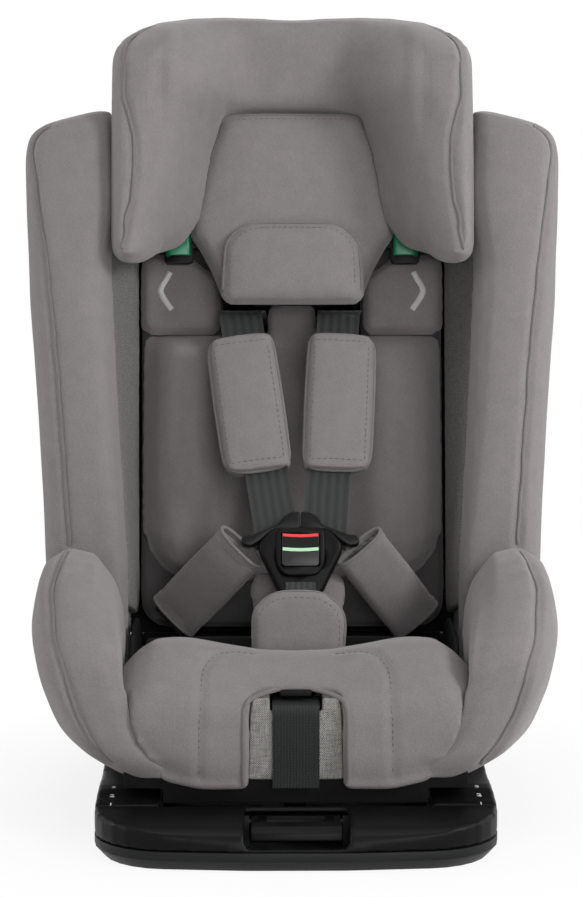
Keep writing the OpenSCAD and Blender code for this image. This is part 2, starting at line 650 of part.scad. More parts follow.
// Arched opening in the front of the cushion, drawn in by i
function arch(i) = rounded([[i - arch_w / 2, 40 + 6 * i], [arch_w / 2 - i, 40 + 6 * i],
    [arch_w / 2 - 3 - i, arch_top - i],
  [3 + i - arch_w / 2, arch_top - i]], [1, 1, 22 - i, 22 - i], 6);
seat_e = [0, 3, 11, 25, 41, 57, 67, 73];
seat_x = [for (e = seat_e) e - seat_edge, -30, 0, 30, for (i = [len(seat_e) - 1:-1:0]) seat_edge - seat_e[i]];
module seat_cushion() color(grey) difference() {
  skin([for (x = seat_x) seat_ring(x)], split = [17, 35]);
  // Arched opening in front of the harness adjuster
  plate_y(-230, pan_front + 4) polygon(arch(0));
  block(-adj_w / 2 - 2, adj_w / 2 + 2, adj_front - 1, -124, 80, adj_top + 1);
  block(-web_w / 2 - 2, web_w / 2 + 2, pan_front - 4, adj_front, 80, adj_top - 0.5);
  // Room for the pan's side walls
  both() translate([half_in, 0, 0]) extrude_x(2 * pan_wall + 1.2)
    polygon([[-129.5, 93], [-97.5, 119], [-97.5, 190], [0, 190], [0, 93]]);
  // The sides of the front run in to the seam with the bolsters
  both() plate_y(-230, pan_front + 1)
    polygon([[seam_x(51) - 0.5, 51], [seam_x(seat_top - 6) - 0.5, seat_top - 6], [180, seat_top - 6],
        [180, 20], [seam_x(51) - 0.5, 20]]);
}

module seat_liner() color(black) difference() {
  extrude_x(pan_w - 2 * pan_wall - 6) polygon(rounded([[-61.4, cushion_z], [84, cushion_z], [84, 126],
      [58, 112], [-36, 124], [-61.4, 122]],
    [1, 3, 4, 20, 20, 4], 4));
  block(buckle_x - crotch_w / 2 - 0.5, buckle_x + crotch_w / 2 + 0.5, -30 - web_t / 2 - 0.5,
      -30 + web_t / 2 + 0.5, 80, 140);
  block(-24, 24, 70, 100, 80, 112);
}

// Side bolster: section at depth y, for the right side
// In front of the pan it reaches in to the cushion's seam
bol_top = [[-200, bolster_top - 62], [-186, bolster_top - 50], [-150, bolster_top - 24], [-110,
    bolster_top - 6], [-72, bolster_top],
  [-25, bolster_top - 3]];
bol_out = [[-200, bolster_w / 2 - 22], [-180, bolster_w / 2 - 12], [-150, bolster_w / 2 - 4], [-120,
    bolster_w / 2]];
function seam_x(z) = lookup(z, [[51, seam_low], [seat_top - 6, seat_half - 0.5], [seat_top + 40,
    seat_half - 0.5]]);
bol_foot = [[-200, 26], [-150, 8], [-110, 0]];
function bolster_ring(y, f) = let (t = lookup(y, bol_top), xo = lookup(y, bol_out), h = t - 55,
    front = y < pan_front - 1)
  let (in0 = front ? seam_x(60) + seat_gap : half_in + 1)
  let (in4 = front ? seam_x(55 + 0.56 * h) + 2 * seat_gap : half_in + seat_gap)
  let (c = lookup(y, bol_foot))
  let (p = rounded([[in0, front ? 52 : 55], [max(168 - c, in0 + 12), 54], [197 - c, 55 + 0.19 * h],
      [xo - 6 - 0.3 * c, 55 + 0.46 * h],
    [xo + 1, 55 + 0.7 * h], [xo - 5, 55 + 0.93 * h], [xo - 32, t], [152, t - 3], [seat_half, 55 + 0.86 * h],
    [half_in - 4.5, 55 + 0.73 * h], [in4, 55 + 0.57 * h]], [5, 16, 40, 46, 30, 18, 16, 14, 12, 16, 16], 3))
  [for (q = shrink(p, f, [176, 128])) [q[0], y, q[1]]];
module bolster() color(grey) difference() {
  skin([for (k = [[-200, 0.62], [-197, 0.82], [-192, 0.93], [-187.6, 0.98], [-186.6, 1], [-165, 1],
      [-148, 1], [-120, 1], [-90, 1],
    [-60, 1], [-44, 1], [-32, 0.96], [-25, 0.86]]) bolster_ring(k[0], k[1])], flip = true);
  block(half_in - 10, 180 + seat_gap, -118 - seat_gap, 0, 20, 72 + seat_gap);
  block(176 - seat_gap, 180 + seat_gap, -118 - seat_gap, 0, 60, 178 + seat_gap);
}
module bolster_right() bolster();
module bolster_left() left_side() bolster();

// Woven panel behind the arch, notched for the strap
module front_panel() color([0.66, 0.65, 0.63]) plate_y(pan_front - seat_gap - 3,
    pan_front - seat_gap) difference() {
  polygon(arch(1));
  polygon(box2(-web_w / 2 - 2, adj_slot - 7.5, web_w / 2 + 2, 160));
  polygon(box2(-arch_w, adj_slot + 4, arch_w, 160));
}

/* Harness adjuster */

adj_front = pan_front + 10;
adj_slot = adj_top - 11.5;
module adjuster_housing() color(black) difference() {
  plate_y(adj_front, adj_front + adj_d)
    polygon(rounded(box2(-adj_w / 2, cushion_z + seat_gap, adj_w / 2, adj_top), 4, 4));
  block(-web_w / 2 - 1, web_w / 2 + 1, adj_front - 5, adj_front + adj_d + 5, adj_slot - 2.5,
      adj_slot + 2.5);
  block(-13.3, 13.3, adj_front - 5, adj_front + 20, adj_slot + 4.2, adj_slot + 9.8);
}
module adjuster_button() color(black) plate_y(adj_front - 8, adj_front + 13)
  polygon(rounded(box2(-13, adj_slot + 4.5, 13, adj_slot + 9.5), 2, 4));

module adjuster_strap() color(web) webbing([at_back(0, 48, 136), at_back(0, 46, 60), at_back(0, 45,
    12), [0, 122, 103],
  [0, 108, 92], [0, 96, 88], [0, adj_front + adj_d + 24, 88], [0, adj_front + adj_d + 16, 91.5],
  [0, adj_front + adj_d + 12, 98], [0, adj_front + adj_d + 6, adj_slot - 7], [0, adj_front + adj_d + 1,
      adj_slot],
  [0, adj_front - 1, adj_slot], [0, pan_front + 2, adj_slot - 0.6], [0, pan_front - 3.6, adj_slot - 3],
  [0, pan_front - 5, adj_slot - 9], [0, pan_front - 5, 66], [0, pan_front - 5.8, 50]], [1, 0, 0]);

module splitter_plate() color(steel) in_back() difference() {
  plate_y(46, 50) polygon(rounded([[-24, 138], [24, 138], [30, 172], [-30, 172]], 5, 4));
  plate_y(40, 60) polygon(rounded(box2(-8, 147, 8, 163), 6, 4));
}

/* Buckle and harness */

shield = rounded([[-24, 24], [-31, 8], [-28, -16], [-15, -37], [15, -37], [28, -16], [31, 8], [24,
    24]], [5, 10, 12, 6, 6, 12, 10, 5], 3);
module buckle_body() color(black) in_buckle() difference() {
  pillow([for (i = [len(shield) - 1:-1:0]) shield[i]], 9, 22, 0.9, 0.82);
  block(-16.3, 16.3, -20, -0.6, -12.3, 16.3);
  block(-web_w / 2 + 4, web_w / 2 - 4, -2, 2, -40, -30);
}
module buckle_button() color([0.25, 0.25, 0.26]) in_buckle() difference() {
  plate_y(-14, -5) polygon(rounded(box2(-16, -12, 16, 16), 3, 4));
  block(-20, 20, -15, -13.4, 4.4, 6);
}
module tongue() color(black) in_buckle() difference() {
  plate_y(-6, 4) polygon(rounded([[0.4, 24.6], [27, 24.6], [32.5, 12], [45, 5], [49, 14], [30, 33],
      [16, 42], [0.4, 43.5]],
    [0.6, 2, 4, 3, 5, 8, 10, 1], 3));
  block(3, 24, -3, 1, 38, 50);
}
module tongue_right() tongue();
module tongue_left() in_buckle_mirror() tongue();
module in_buckle_mirror() translate([buckle_x, 0, 0]) mirror([1, 0, 0]) translate([-buckle_x, 0,
    0]) children();

module crotch_strap() color(web) webbing([[buckle_x, -30, cushion_z + 1], [buckle_x, -30, 128],
    at_buckle(0, 0, -58),
  at_buckle(0, 0, -31)], [1, 0, 0], w = crotch_w);

module crotch_pad() color(grey) {
  translate([buckle_x - 2, -36, 122.4]) rotate([-14, 0, 0])
    pillow(rounded([[-40, 1], [40, 1], [41, 46], [20, 62], [-20, 62], [-41, 46]], [6, 6, 16, 20, 20,
        16], 4), 0, 13, 0.92, 0.74);
  translate([buckle_x - 2, -8, 119.9]) rotate([-14, 0, 0])
    pillow(rounded([[-34, 2], [34, 2], [43, 63], [37, 77], [-37, 77], [-43, 63]], [8, 8, 12, 8, 8, 12],
        4), 10, 11, 0.92, 0.8);
}

// Foot and head of a shoulder strap, side -1 left or 1 right
function strap_foot(k) = at_buckle(k * 26, 5.3, 28);
function strap_head(k) = at_back(k * 45 - (k < 0 ? 2 : 3), -52, 289);
module harness_strap(k) color(web) {
  webbing([strap_foot(k), strap_head(k), at_back(k * 44, -40, 293.5), at_back(k * 43, -28, 294.5),
      at_back(k * 40, 34, 294.5),
    at_back(k * 39, 41, 290), at_back(k * 38, 44, 280), at_back(k * 20, 51.4, 166)], [1, 0, 0]);
  webbing([hip_a(k), hip_b(k)], hip_side(k), w = 34);
}
module harness_strap_right() harness_strap(1);
module harness_strap_left() harness_strap(-1);

module shoulder_pad(k) color(grey) along(strap_foot(k), strap_head(k), [1, 0, 0])
  tube_pad(pad_w, 21, pad_len, 50, k * pad_off);
module shoulder_pad_right() shoulder_pad(1);
module shoulder_pad_left() shoulder_pad(-1);

function hip_a(k) = at_buckle(k * 49.5, -1, 9.5);
function hip_b(k) = [k * 112, 58, 140];
function hip_side(k) = cross(unit(hip_b(k) - hip_a(k)), [0, -1, 0.2]);
module hip_pad(k) color(grey) along(hip_a(k), hip_b(k), hip_side(k)) tube_pad(hip_w, 17, hip_len, 8);
module hip_pad_right() hip_pad(1);
module hip_pad_left() hip_pad(-1);

/* Headrest */

module headrest_carrier() color(black) in_back() difference() {
  union() {
    plate_y(-41, -33) polygon(rounded(box2(-105, 352, 105, 540), [8, 8, 30, 30], 5));
    plate_y(-41, -33) polygon(box2(-60, 300, 60, 353));
    both() {
      plate_y(-41, -33) polygon(rounded(box2(guide_x - 13, 338, guide_x + 13, 380), 4, 3));
      block(32, 58, -34, 40, 303, 336);
      block(32, rod_x + 10, 38.5, 62, 303, 336);
      block(61, rod_x + 10, 38.5, 62, 232, 304);
      block(14, 24, -34, -16, 391, 409);
    }
  }
  both() translate([rod_x, 50, 200]) cylinder(h = 300, d = rod_d + 2 * bore_clear);
  block(-13, 13, -50, -20, 332, 560);
  rod_x_axis(-40, 40, -24, 400, 5 + 2 * bore_clear);
}

module lever_pin() color(steel) in_back() rod_x_axis(-24, 24, -24, 400, 5);

module headrest_lever() color(black) in_back() difference() {
  union() {
    block(-10, 10, -31, -19, 341, 548);
    rod_x_axis(-12, 12, -24, 400, 15);
    block(-8, 8, -20, 5.4, 341, 349);
    plate_y(-31, -7) polygon(rounded(box2(-42, 528, 42, 552), 9, 5));
  }
  rod_x_axis(-40, 40, -24, 400, 5 + 2 * bore_clear);
}

// Headrest: an upright section carried round the head from tip to tip
head_path = [[0, 0, -57.8], [0.22, 40, -58.8], [0.4, 74, -64], [0.56, 102, -75], [0.72, 124, -97],
    [0.88, 133, -126], [1, 136, -150]];
function head_x(u) = lookup(u, [for (p = head_path) [p[0], p[1]]]) * head_half / 155;
function head_y(u) = lookup(u, [for (p = head_path) [p[0], p[2]]]);
function head_low(u) = lookup(u, [[0, 466], [0.33, 466], [0.4, 429], [0.46, 370], [0.54, 346], [0.62, 340],
  [0.72, 333], [0.9, 319], [1, 323]]);
function head_high(u) = lookup(u, [[0, head_top - 2], [0.3, head_top], [0.5, head_top - 4], [0.65,
    head_top - 12], [0.8, head_top - 28], [0.9, head_top - 42], [1, head_top - 62]]);
function head_t(u) = lookup(u, [[0, 33], [0.5, 36], [0.72, 44], [0.88, 40], [0.97, 26], [1, 14]]);
function head_ring(v) = let (u = abs(v), k = v < 0 ? -1 : 1)
  let (d = unit([head_x(min(1, u + 0.06)) - head_x(u - 0.06 < 0 ? 0 : u - 0.06),
    head_y(min(1, u + 0.06)) - head_y(max(0, u - 0.06))]))
  let (nrm = u < 0.05 ? [0, 1] : [-d[1], d[0]], t = head_t(u), h0 = head_low(u), h1 = head_high(u))
  [for (q = rounded(box2(-t / 2, h0, t / 2, h1), min(t * 0.44, (h1 - h0) * 0.4), 3))
    [k * (head_x(u) + nrm[0] * q[0]), head_y(u) + nrm[1] * q[0], q[1]]];
head_u = [0, 0.2, 0.33, 0.4, 0.46, 0.54, 0.62, 0.7, 0.78, 0.86, 0.92, 0.97, 1];
module headrest_cushion() color(grey) in_back()
  skin([for (i = [len(head_u) - 1:-1:1]) head_ring(-head_u[i]), for (u = head_u) head_ring(u)]);

module headrest_pad() color(grey) in_back()
  pillow(rounded([[-60, head_foot], [60, head_foot], [89, 338], [90.5, 368], [82.5, 414], [75.5, 438],
      [63, 465.3], [-63, 465.3],
    [-75.5, 438], [-82.5, 414], [-90.5, 368], [-89, 338]], [4, 4, 10, 14, 40, 40, 8, 8, 40, 40, 14,
        10], 3), -41 - seat_gap, 27, 0.96, 0.86);

module headrest_lower_pad() color(grey) in_back()
  pillow(rounded([[-60, 300], [60, 300], [58, 350], [40, 368], [-40, 368], [-58, 350]], [8, 8, 20, 20,
      20, 20], 4), -68.6, 19, 0.9, 0.7);

module belt_guide() color([0.06, 0.52, 0.36]) in_back() translate([0, 0, 343]) linear_extrude(21)
  polygon(rounded([[guide_x + 11.5, -41 - seat_gap], [guide_x + 7.5, -41 - seat_gap], [guide_x + 7.5,
      -50.5],
    [guide_x - 7, -50.5], [guide_x - 7, -46.5], [guide_x - 11.5, -46.5], [guide_x - 11.5, -54],
        [guide_x + 11.5, -54]], [0.5, 0.5, 2, 2, 1.5, 1.5, 4, 6], 4));
module belt_guide_right() belt_guide();
module belt_guide_left() left_side() belt_guide();

base_tray();
base_cover();
base_feet();
base_screws();
recline_rail_left();
recline_rail_right();
handle_pin();
recline_handle();
anchor_frame();
anchor_housing_left();
anchor_housing_right();
anchor_pins();
anchor_jaw_left();
anchor_jaw_right();
anchor_button_left();
anchor_button_right();
seat_pan();
recline_carriage();
carriage_pins();
back_shell();
back_panel();
headrest_rods();
headrest_rack();
seat_cushion();
seat_liner();
bolster_left();
bolster_right();
wing_left();
wing_right();
knit_panel_left();
knit_panel_right();
back_liner();
back_cushion();
shoulder_flap_left();
shoulder_flap_right();
front_panel();
adjuster_housing();
adjuster_button();
adjuster_strap();
splitter_plate();
crotch_strap();
crotch_pad();
buckle_body();
buckle_button();
tongue_left();
tongue_right();
harness_strap_left();
harness_strap_right();
shoulder_pad_left();
shoulder_pad_right();
hip_pad_left();
hip_pad_right();
headrest_carrier();
headrest_cushion();
headrest_pad();
headrest_lower_pad();
belt_guide_left();
belt_guide_right();
headrest_lever();
lever_pin();
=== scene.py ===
import json
import math
import bpy
import numpy as np
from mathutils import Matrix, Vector
from mathutils.kdtree import KDTree


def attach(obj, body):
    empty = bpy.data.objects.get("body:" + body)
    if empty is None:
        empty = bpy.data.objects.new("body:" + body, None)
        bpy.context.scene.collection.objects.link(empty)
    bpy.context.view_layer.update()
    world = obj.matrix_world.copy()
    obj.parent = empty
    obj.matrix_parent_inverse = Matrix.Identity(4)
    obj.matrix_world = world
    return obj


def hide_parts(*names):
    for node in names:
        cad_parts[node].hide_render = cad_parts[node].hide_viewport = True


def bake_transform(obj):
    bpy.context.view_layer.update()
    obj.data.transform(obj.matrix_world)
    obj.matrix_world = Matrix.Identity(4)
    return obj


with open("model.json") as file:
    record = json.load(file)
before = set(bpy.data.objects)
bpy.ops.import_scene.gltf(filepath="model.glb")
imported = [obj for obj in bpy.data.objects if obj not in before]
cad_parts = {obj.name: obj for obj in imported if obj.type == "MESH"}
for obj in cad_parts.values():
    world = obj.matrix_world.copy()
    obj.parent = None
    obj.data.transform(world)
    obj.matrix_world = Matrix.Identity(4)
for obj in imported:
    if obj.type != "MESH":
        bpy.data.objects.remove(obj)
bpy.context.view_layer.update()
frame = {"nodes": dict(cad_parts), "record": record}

# Studio: a pale seamless floor, large soft boxes all round and a long lens.
# The lens stands 2.4 m in front of the seat, a little above it, and looks
# slightly down, as in the photograph.
picture_height = 897
camera = bpy.data.objects.new("camera", bpy.data.cameras.new("camera"))
bpy.context.collection.objects.link(camera)
camera.location = (-0.02513, -2.39987, 0.600)
camera.rotation_euler = (math.radians(82.9), 0, math.radians(-0.6))
camera.data.sensor_fit = "VERTICAL"
camera.data.sensor_height = 36
camera.data.lens = 111.81
camera.data.shift_x = -2 / picture_height
camera.data.shift_y = 3 / picture_height
camera.data.clip_end = 50
bpy.context.scene.camera = camera
bpy.context.scene.view_settings.view_transform = "Standard"


def soft_box(name, place, aim, size, watts):
    """A large soft lamp, turned towards what it lights."""
    lamp = bpy.data.objects.new(name, bpy.data.lights.new(name, "AREA"))
    bpy.context.collection.objects.link(lamp)
    lamp.location = place
    lamp.rotation_euler = (Vector(aim) - Vector(place)).to_track_quat("-Z", "Y").to_euler()
    lamp.data.shape = "RECTANGLE"
    lamp.data.size, lamp.data.size_y = size
    lamp.data.energy = watts


soft_box("front_box", (0.5, -2.5, 0.8), (0, 0, 0.3), (1.5, 0.9), 22)
soft_box("right_box", (2.1, -1.5, 1.6), (0, 0, 0.35), (0.7, 0.9), 41)
soft_box("left_rim", (-2.2, 0.0, 0.9), (0, 0, 0.35), (0.8, 1.4), 18)
soft_box("right_rim", (2.2, 0.1, 0.9), (0, 0, 0.35), (0.8, 1.4), 14)
soft_box("top_box", (-0.1, -0.6, 2.3), (0, 0, 0.3), (1.2, 1.0), 10)
soft_box("rear_box", (0.5, 1.9, 1.6), (0, 0, 0.4), (1.4, 1.4), 14)


def wire(tree, kind, inputs=None, **settings):
    """A node of that kind; an input is a number, a colour or another node's output."""
    made = tree.nodes.new(kind)
    for setting, value in settings.items():
        setattr(made, setting, value)
    for name, value in (inputs or {}).items():
        if isinstance(value, bpy.types.NodeSocket):
            tree.links.new(value, made.inputs[name])
        else:
            made.inputs[name].default_value = value
    return made


def maths(tree, operation, *values):
    """What a Math node puts out."""
    return wire(tree, "ShaderNodeMath", dict(enumerate(values)), operation=operation).outputs[0]


def ranged(tree, value, *limits):
    """A value taken from its own two limits to two new ones."""
    return wire(tree, "ShaderNodeMapRange", dict(enumerate((value, *limits)))).outputs[0]


def seen_rays(tree):
    """1 for what the lens sees, straight or in metal and glass, and 0 for the light on other things."""
    path = wire(tree, "ShaderNodeLightPath")
    clear = maths(tree, "MAXIMUM", path.outputs["Is Glossy Ray"], path.outputs["Is Transmission Ray"])
    return maths(tree, "MAXIMUM", path.outputs["Is Camera Ray"], clear)


white = (1, 1, 1, 1)
world = bpy.data.worlds.new("studio")
bpy.context.scene.world = world
world.use_nodes = True
tree = world.node_tree
tree.nodes.clear()
lit = wire(tree, "ShaderNodeBackground", {"Color": white, "Strength": 0.17})
bright = wire(tree, "ShaderNodeBackground", {"Color": white, "Strength": 1.0})
mixed = wire(tree, "ShaderNodeMixShader", {0: seen_rays(tree), 1: lit.outputs[0], 2: bright.outputs[0]})
wire(tree, "ShaderNodeOutputWorld", {"Surface": mixed.outputs[0]})

bpy.ops.object.select_all(action="DESELECT")
bpy.ops.mesh.primitive_plane_add(size=80, location=(0, 0, 0))
floor = bpy.context.object
floor.name = "floor"
paper = bpy.data.materials.new("floor_paper")
paper.use_nodes = True
tree = paper.node_tree
tree.nodes.clear()
place = wire(tree, "ShaderNodeTexCoord")
apart = wire(tree, "ShaderNodeVectorMath", {0: place.outputs["Object"]}, operation="LENGTH")
fade = ranged(tree, apart.outputs["Value"], 0.2, 0.4, 0.85, 1.0)
share = maths(tree, "MULTIPLY", seen_rays(tree), fade)
matt = wire(tree, "ShaderNodeBsdfDiffuse", {"Color": (0.82, 0.82, 0.82, 1)})
glow = wire(tree, "ShaderNodeEmission", {"Color": white, "Strength": 1.0})
mixed = wire(tree, "ShaderNodeMixShader", {0: share, 1: matt.outputs[0], 2: glow.outputs[0]})
wire(tree, "ShaderNodeOutputMaterial", {"Surface": mixed.outputs[0]})
floor.data.materials.append(paper)

# Base: two black moulded shells with a parting line, on four rubber feet.
# Glass-filled polypropylene with a fine spark-eroded grain; four steel screws
# hold the tray to the cover.
body_of = {n: b for b, names in frame["record"]["behaviour"]["bodies"].items() for n in names}


def only(piece):
    """Selects this piece alone and makes it the active one."""
    if bpy.context.mode != "OBJECT":
        bpy.ops.object.mode_set(mode="OBJECT")
    bpy.ops.object.select_all(action="DESELECT")
    piece.select_set(True)
    bpy.context.view_layer.objects.active = piece


def on_all(operator, **values):
    """Runs a mesh operator on the whole of the active piece."""
    bpy.ops.object.mode_set(mode="EDIT")
    bpy.ops.mesh.select_all(action="SELECT")
    operator(**values)
    bpy.ops.object.mode_set(mode="OBJECT")


def merged_copy(node, name):
    """The node's mesh as a piece of its own, with its corners joined."""
    piece = bpy.data.objects.new(name, frame["nodes"][node].data.copy())
    bpy.context.collection.objects.link(piece)
    piece.data.materials.clear()
    only(piece)
    on_all(bpy.ops.mesh.remove_doubles, threshold=0.00002)
    return piece


def apply_all(piece):
    """Applies the piece's modifiers, and leaves it the active one."""
    only(piece)
    for m in list(piece.modifiers):
        bpy.ops.object.modifier_apply(modifier=m.name)


def bevelled(piece, width, segments, angle):
    """Rounds the edges sharper than the angle."""
    bev = piece.modifiers.new("edges", "BEVEL")
    bev.width, bev.segments, bev.limit_method = width, segments, "ANGLE"
    bev.angle_limit = math.radians(angle)
    apply_all(piece)


def stand_in(piece, node, material):
    """Gives the piece its finish and the place of the node on its body."""
    piece.data.materials.append(material)
    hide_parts(node)
    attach(piece, body_of[node])


def moulded(node, name, material, edge=0.0009):
    """A rigid node with its sharp edges rounded, in place of the plain solid."""
    piece = merged_copy(node, name)
    on_all(bpy.ops.mesh.dissolve_limited, angle_limit=math.radians(0.6))
    bevelled(piece, edge, 2, 40)
    bpy.ops.object.shade_smooth_by_angle(angle=math.radians(38))
    stand_in(piece, node, material)


VALUE, COLOUR, PLACE = "NodeSocketFloat", "NodeSocketColor", "NodeSocketVector"
black, origin = (0, 0, 0, 1), (0, 0, 0)


def group(name, inputs, outputs):
    """A node group with its sockets: the group, what its input gives and what its output takes."""
    made = bpy.data.node_groups.new(name, "ShaderNodeTree")
    for socket, kind, value in inputs:
        made.interface.new_socket(socket, in_out="INPUT", socket_type=kind).default_value = value
    for socket, kind in outputs:
        made.interface.new_socket(socket, in_out="OUTPUT", socket_type=kind)
    return made, wire(made, "NodeGroupInput").outputs, wire(made, "NodeGroupOutput").inputs


def join(tree, a, b):
    tree.links.new(a, b)


def dyed(tree, share, dark, light):
    """A colour between two others."""
    return wire(tree, "ShaderNodeMix", {0: share, 6: dark, 7: light}, data_type="RGBA").outputs[2]


# Grain of a moulded part: a fine eroded texture with faint handling marks
grain, g_in, g_out = group("moulded_grain",
                           [("Vector", PLACE, origin), ("Pitch", VALUE, 900.0), ("Dark", COLOUR, black),
                            ("Light", COLOUR, black), ("Smooth", VALUE, 0.4), ("Dull", VALUE, 0.5)],
                           [("Color", COLOUR), ("Roughness", VALUE), ("Height", VALUE)])
fine = wire(grain, "ShaderNodeTexNoise", {"Vector": g_in["Vector"], "Scale": g_in["Pitch"], "Detail": 2.0})
rub = wire(grain, "ShaderNodeTexNoise", {"Vector": g_in["Vector"], "Scale": 18.0, "Detail": 5.0}).outputs["Fac"]
join(grain, dyed(grain, rub, g_in["Dark"], g_in["Light"]), g_out["Color"])
join(grain, ranged(grain, rub, 0.3, 0.7, g_in["Smooth"], g_in["Dull"]), g_out["Roughness"])
join(grain, fine.outputs["Fac"], g_out["Height"])


def new_finish(name, plain):
    """A material whose shader has these plain values: the material, its tree and its shader."""
    made = bpy.data.materials.new(name)
    made.use_nodes = True
    shade = made.node_tree.nodes["Principled BSDF"]
    for socket, value in plain.items():
        shade.inputs[socket].default_value = value
    return made, made.node_tree, shade


def coloured(tree, shade, colour, height, strength, distance=0.0006):
    """Gives the shader its colour and its relief."""
    bump = wire(tree, "ShaderNodeBump", {"Height": height, "Strength": strength, "Distance": distance})
    join(tree, colour, shade.inputs["Base Color"])
    join(tree, bump.outputs["Normal"], shade.inputs["Normal"])


def plastic(name, dark, light, smooth, dull, pitch=900.0, depth=0.05, metal=0.0, gloss=0.5):
    """Moulded plastic, rubber or metal with the fine grain."""
    made, tree, shade = new_finish(name, {"Metallic": metal, "Specular IOR Level": gloss})
    place = wire(tree, "ShaderNodeTexCoord")
    g = wire(tree, "ShaderNodeGroup", {"Vector": place.outputs["Object"], "Pitch": pitch, "Dark": (*dark, 1),
                                       "Light": (*light, 1), "Smooth": smooth, "Dull": dull}, node_tree=grain).outputs
    coloured(tree, shade, g["Color"], g["Height"], depth)
    join(tree, g["Roughness"], shade.inputs["Roughness"])
    return made


def dress(node, material):
    """A CAD node that stays, with a finish of its own."""
    o = frame["nodes"][node]
    o.data.materials.clear()
    o.data.materials.append(material)


black_plastic = plastic("black_plastic", (0.0022, 0.0022, 0.0024), (0.0045, 0.0045, 0.0048), 0.34, 0.46, gloss=0.1)
rubber = plastic("foot_rubber", (0.012, 0.012, 0.012), (0.02, 0.02, 0.02), 0.8, 0.92, 700.0, 0.12)
steel = plastic("plated_steel", (0.42, 0.42, 0.43), (0.55, 0.55, 0.56), 0.22, 0.38, 1400.0, 0.02, 1.0)


def mesh_points(piece, kind="co"):
    """The places of a mesh's points, or their normals."""
    co = np.empty(len(piece.data.vertices) * 3)
    piece.data.vertices.foreach_get(kind, co)
    return co.reshape(-1, 3)


def put_points(piece, co):
    piece.data.vertices.foreach_set("co", np.ascontiguousarray(co, float).ravel())
    piece.data.update()


def remeshed(node, name, voxel, rounds):
    """A copy of the node in small even faces, with its edges eased."""
    piece = merged_copy(node, name)
    piece.data.remesh_voxel_size = voxel
    bpy.ops.object.voxel_remesh()
    ease = piece.modifiers.new("ease", "SMOOTH")
    ease.factor, ease.iterations = 0.5, rounds
    apply_all(piece)
    return piece


def even_deck(co):
    """The deck runs from its front lip into the side rails in one sweep."""
    y, z = co[:, 1], co[:, 2]
    parting = 0.018
    top = np.interp(y, [-0.268, -0.254, -0.234, -0.204, -0.198, -0.196, -0.174, -0.154],
                    [0.020, 0.028, 0.031, 0.033, 0.034, 0.046, 0.044, 0.041])
    lift = np.interp(y, [-0.268, -0.256, -0.234, -0.204, -0.198, -0.196, -0.184, -0.174, -0.164, -0.154, -0.14],
                     [0.003, 0.0055, 0.005, 0.003, 0.003, -0.009, -0.0065, -0.0045, -0.0025, -0.001, 0])
    co[:, 2] += lift * np.clip((z - parting) / (top - parting), 0, 1)
    return co


tray_plastic = plastic("tray_plastic", (0.0075, 0.0078, 0.0082), (0.012, 0.0124, 0.013), 0.4, 0.52, gloss=0.16)
moulded("base_tray", "base_lower_shell", tray_plastic, 0.0012)
cover = remeshed("base_cover", "base_upper_shell", 0.0025, 9)
put_points(cover, even_deck(mesh_points(cover)))
bpy.ops.object.shade_smooth()
stand_in(cover, "base_cover", black_plastic)
print_white = plastic("print_white", (0.62, 0.62, 0.61), (0.74, 0.74, 0.73), 0.5, 0.6)
number_rows = (("1", -0.196), ("2", -0.174), ("3", -0.150))
above_deck, print_gap = 0.060, 0.0001
for side, k in (("left", -1), ("right", 1)):
    marks = []
    for sign, row in number_rows:
        bpy.ops.object.select_all(action="DESELECT")
        bpy.ops.object.text_add(location=(k * 0.150, row, 0.0))
        mark = bpy.context.object
        mark.data.body = sign
        mark.data.size, mark.data.extrude = 0.009, 0.0002
        mark.data.align_x = mark.data.align_y = "CENTER"
        bpy.ops.object.convert(target="MESH")
        mark = bpy.context.object
        bpy.ops.object.transform_apply(location=True, rotation=True, scale=True)
        co = mesh_points(mark)
        deck = np.array([cover.closest_point_on_mesh(Vector((x, y, above_deck)))[1][2] for x, y, z in co])
        co[:, 2] += deck + print_gap
        put_points(mark, co)
        marks.append(mark)
    only(marks[0])
    for mark in marks:
        mark.select_set(True)
    bpy.ops.object.join()
    numbers = bpy.context.object
    numbers.name = f"position_numbers_{side}"
    numbers.data.materials.clear()
    numbers.data.materials.append(print_white)
    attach(numbers, "base")
dress("base_feet", rubber)
dress("base_screws", steel)

# Recline: two slotted steel rails in the base, the handle under the front and
# its pin, and the moulded carriage with its four steel pins.
for node in ("recline_rail_left", "recline_rail_right", "carriage_pins"):
    dress(node, steel)
# The handle pin gets a darker steel colour, so its ends show no bright specks in the handle's recess.
dark_pin_steel = plastic("dark_pin_steel", (0.02, 0.02, 0.021), (0.035, 0.035, 0.036), 0.4, 0.55, 1400.0, 0.02, 1.0)
dress("handle_pin", dark_pin_steel)
moulded("recline_handle", "recline_grip", black_plastic)
moulded("recline_carriage", "recline_sledge", black_plastic)

# Lower anchors: a bent steel frame with two plastic connectors. Each has a
# steel jaw on a pin and a red button that frees it.
button_red = plastic("button_red", (0.30, 0.012, 0.012), (0.38, 0.016, 0.014), 0.34, 0.46)
for node in ("anchor_frame", "anchor_pins", "anchor_jaw_left", "anchor_jaw_right"):
    dress(node, steel)
for side in ("left", "right"):
    moulded(f"anchor_housing_{side}", f"connector_{side}", black_plastic)
    moulded(f"anchor_button_{side}", f"connector_button_{side}", button_red, 0.0006)

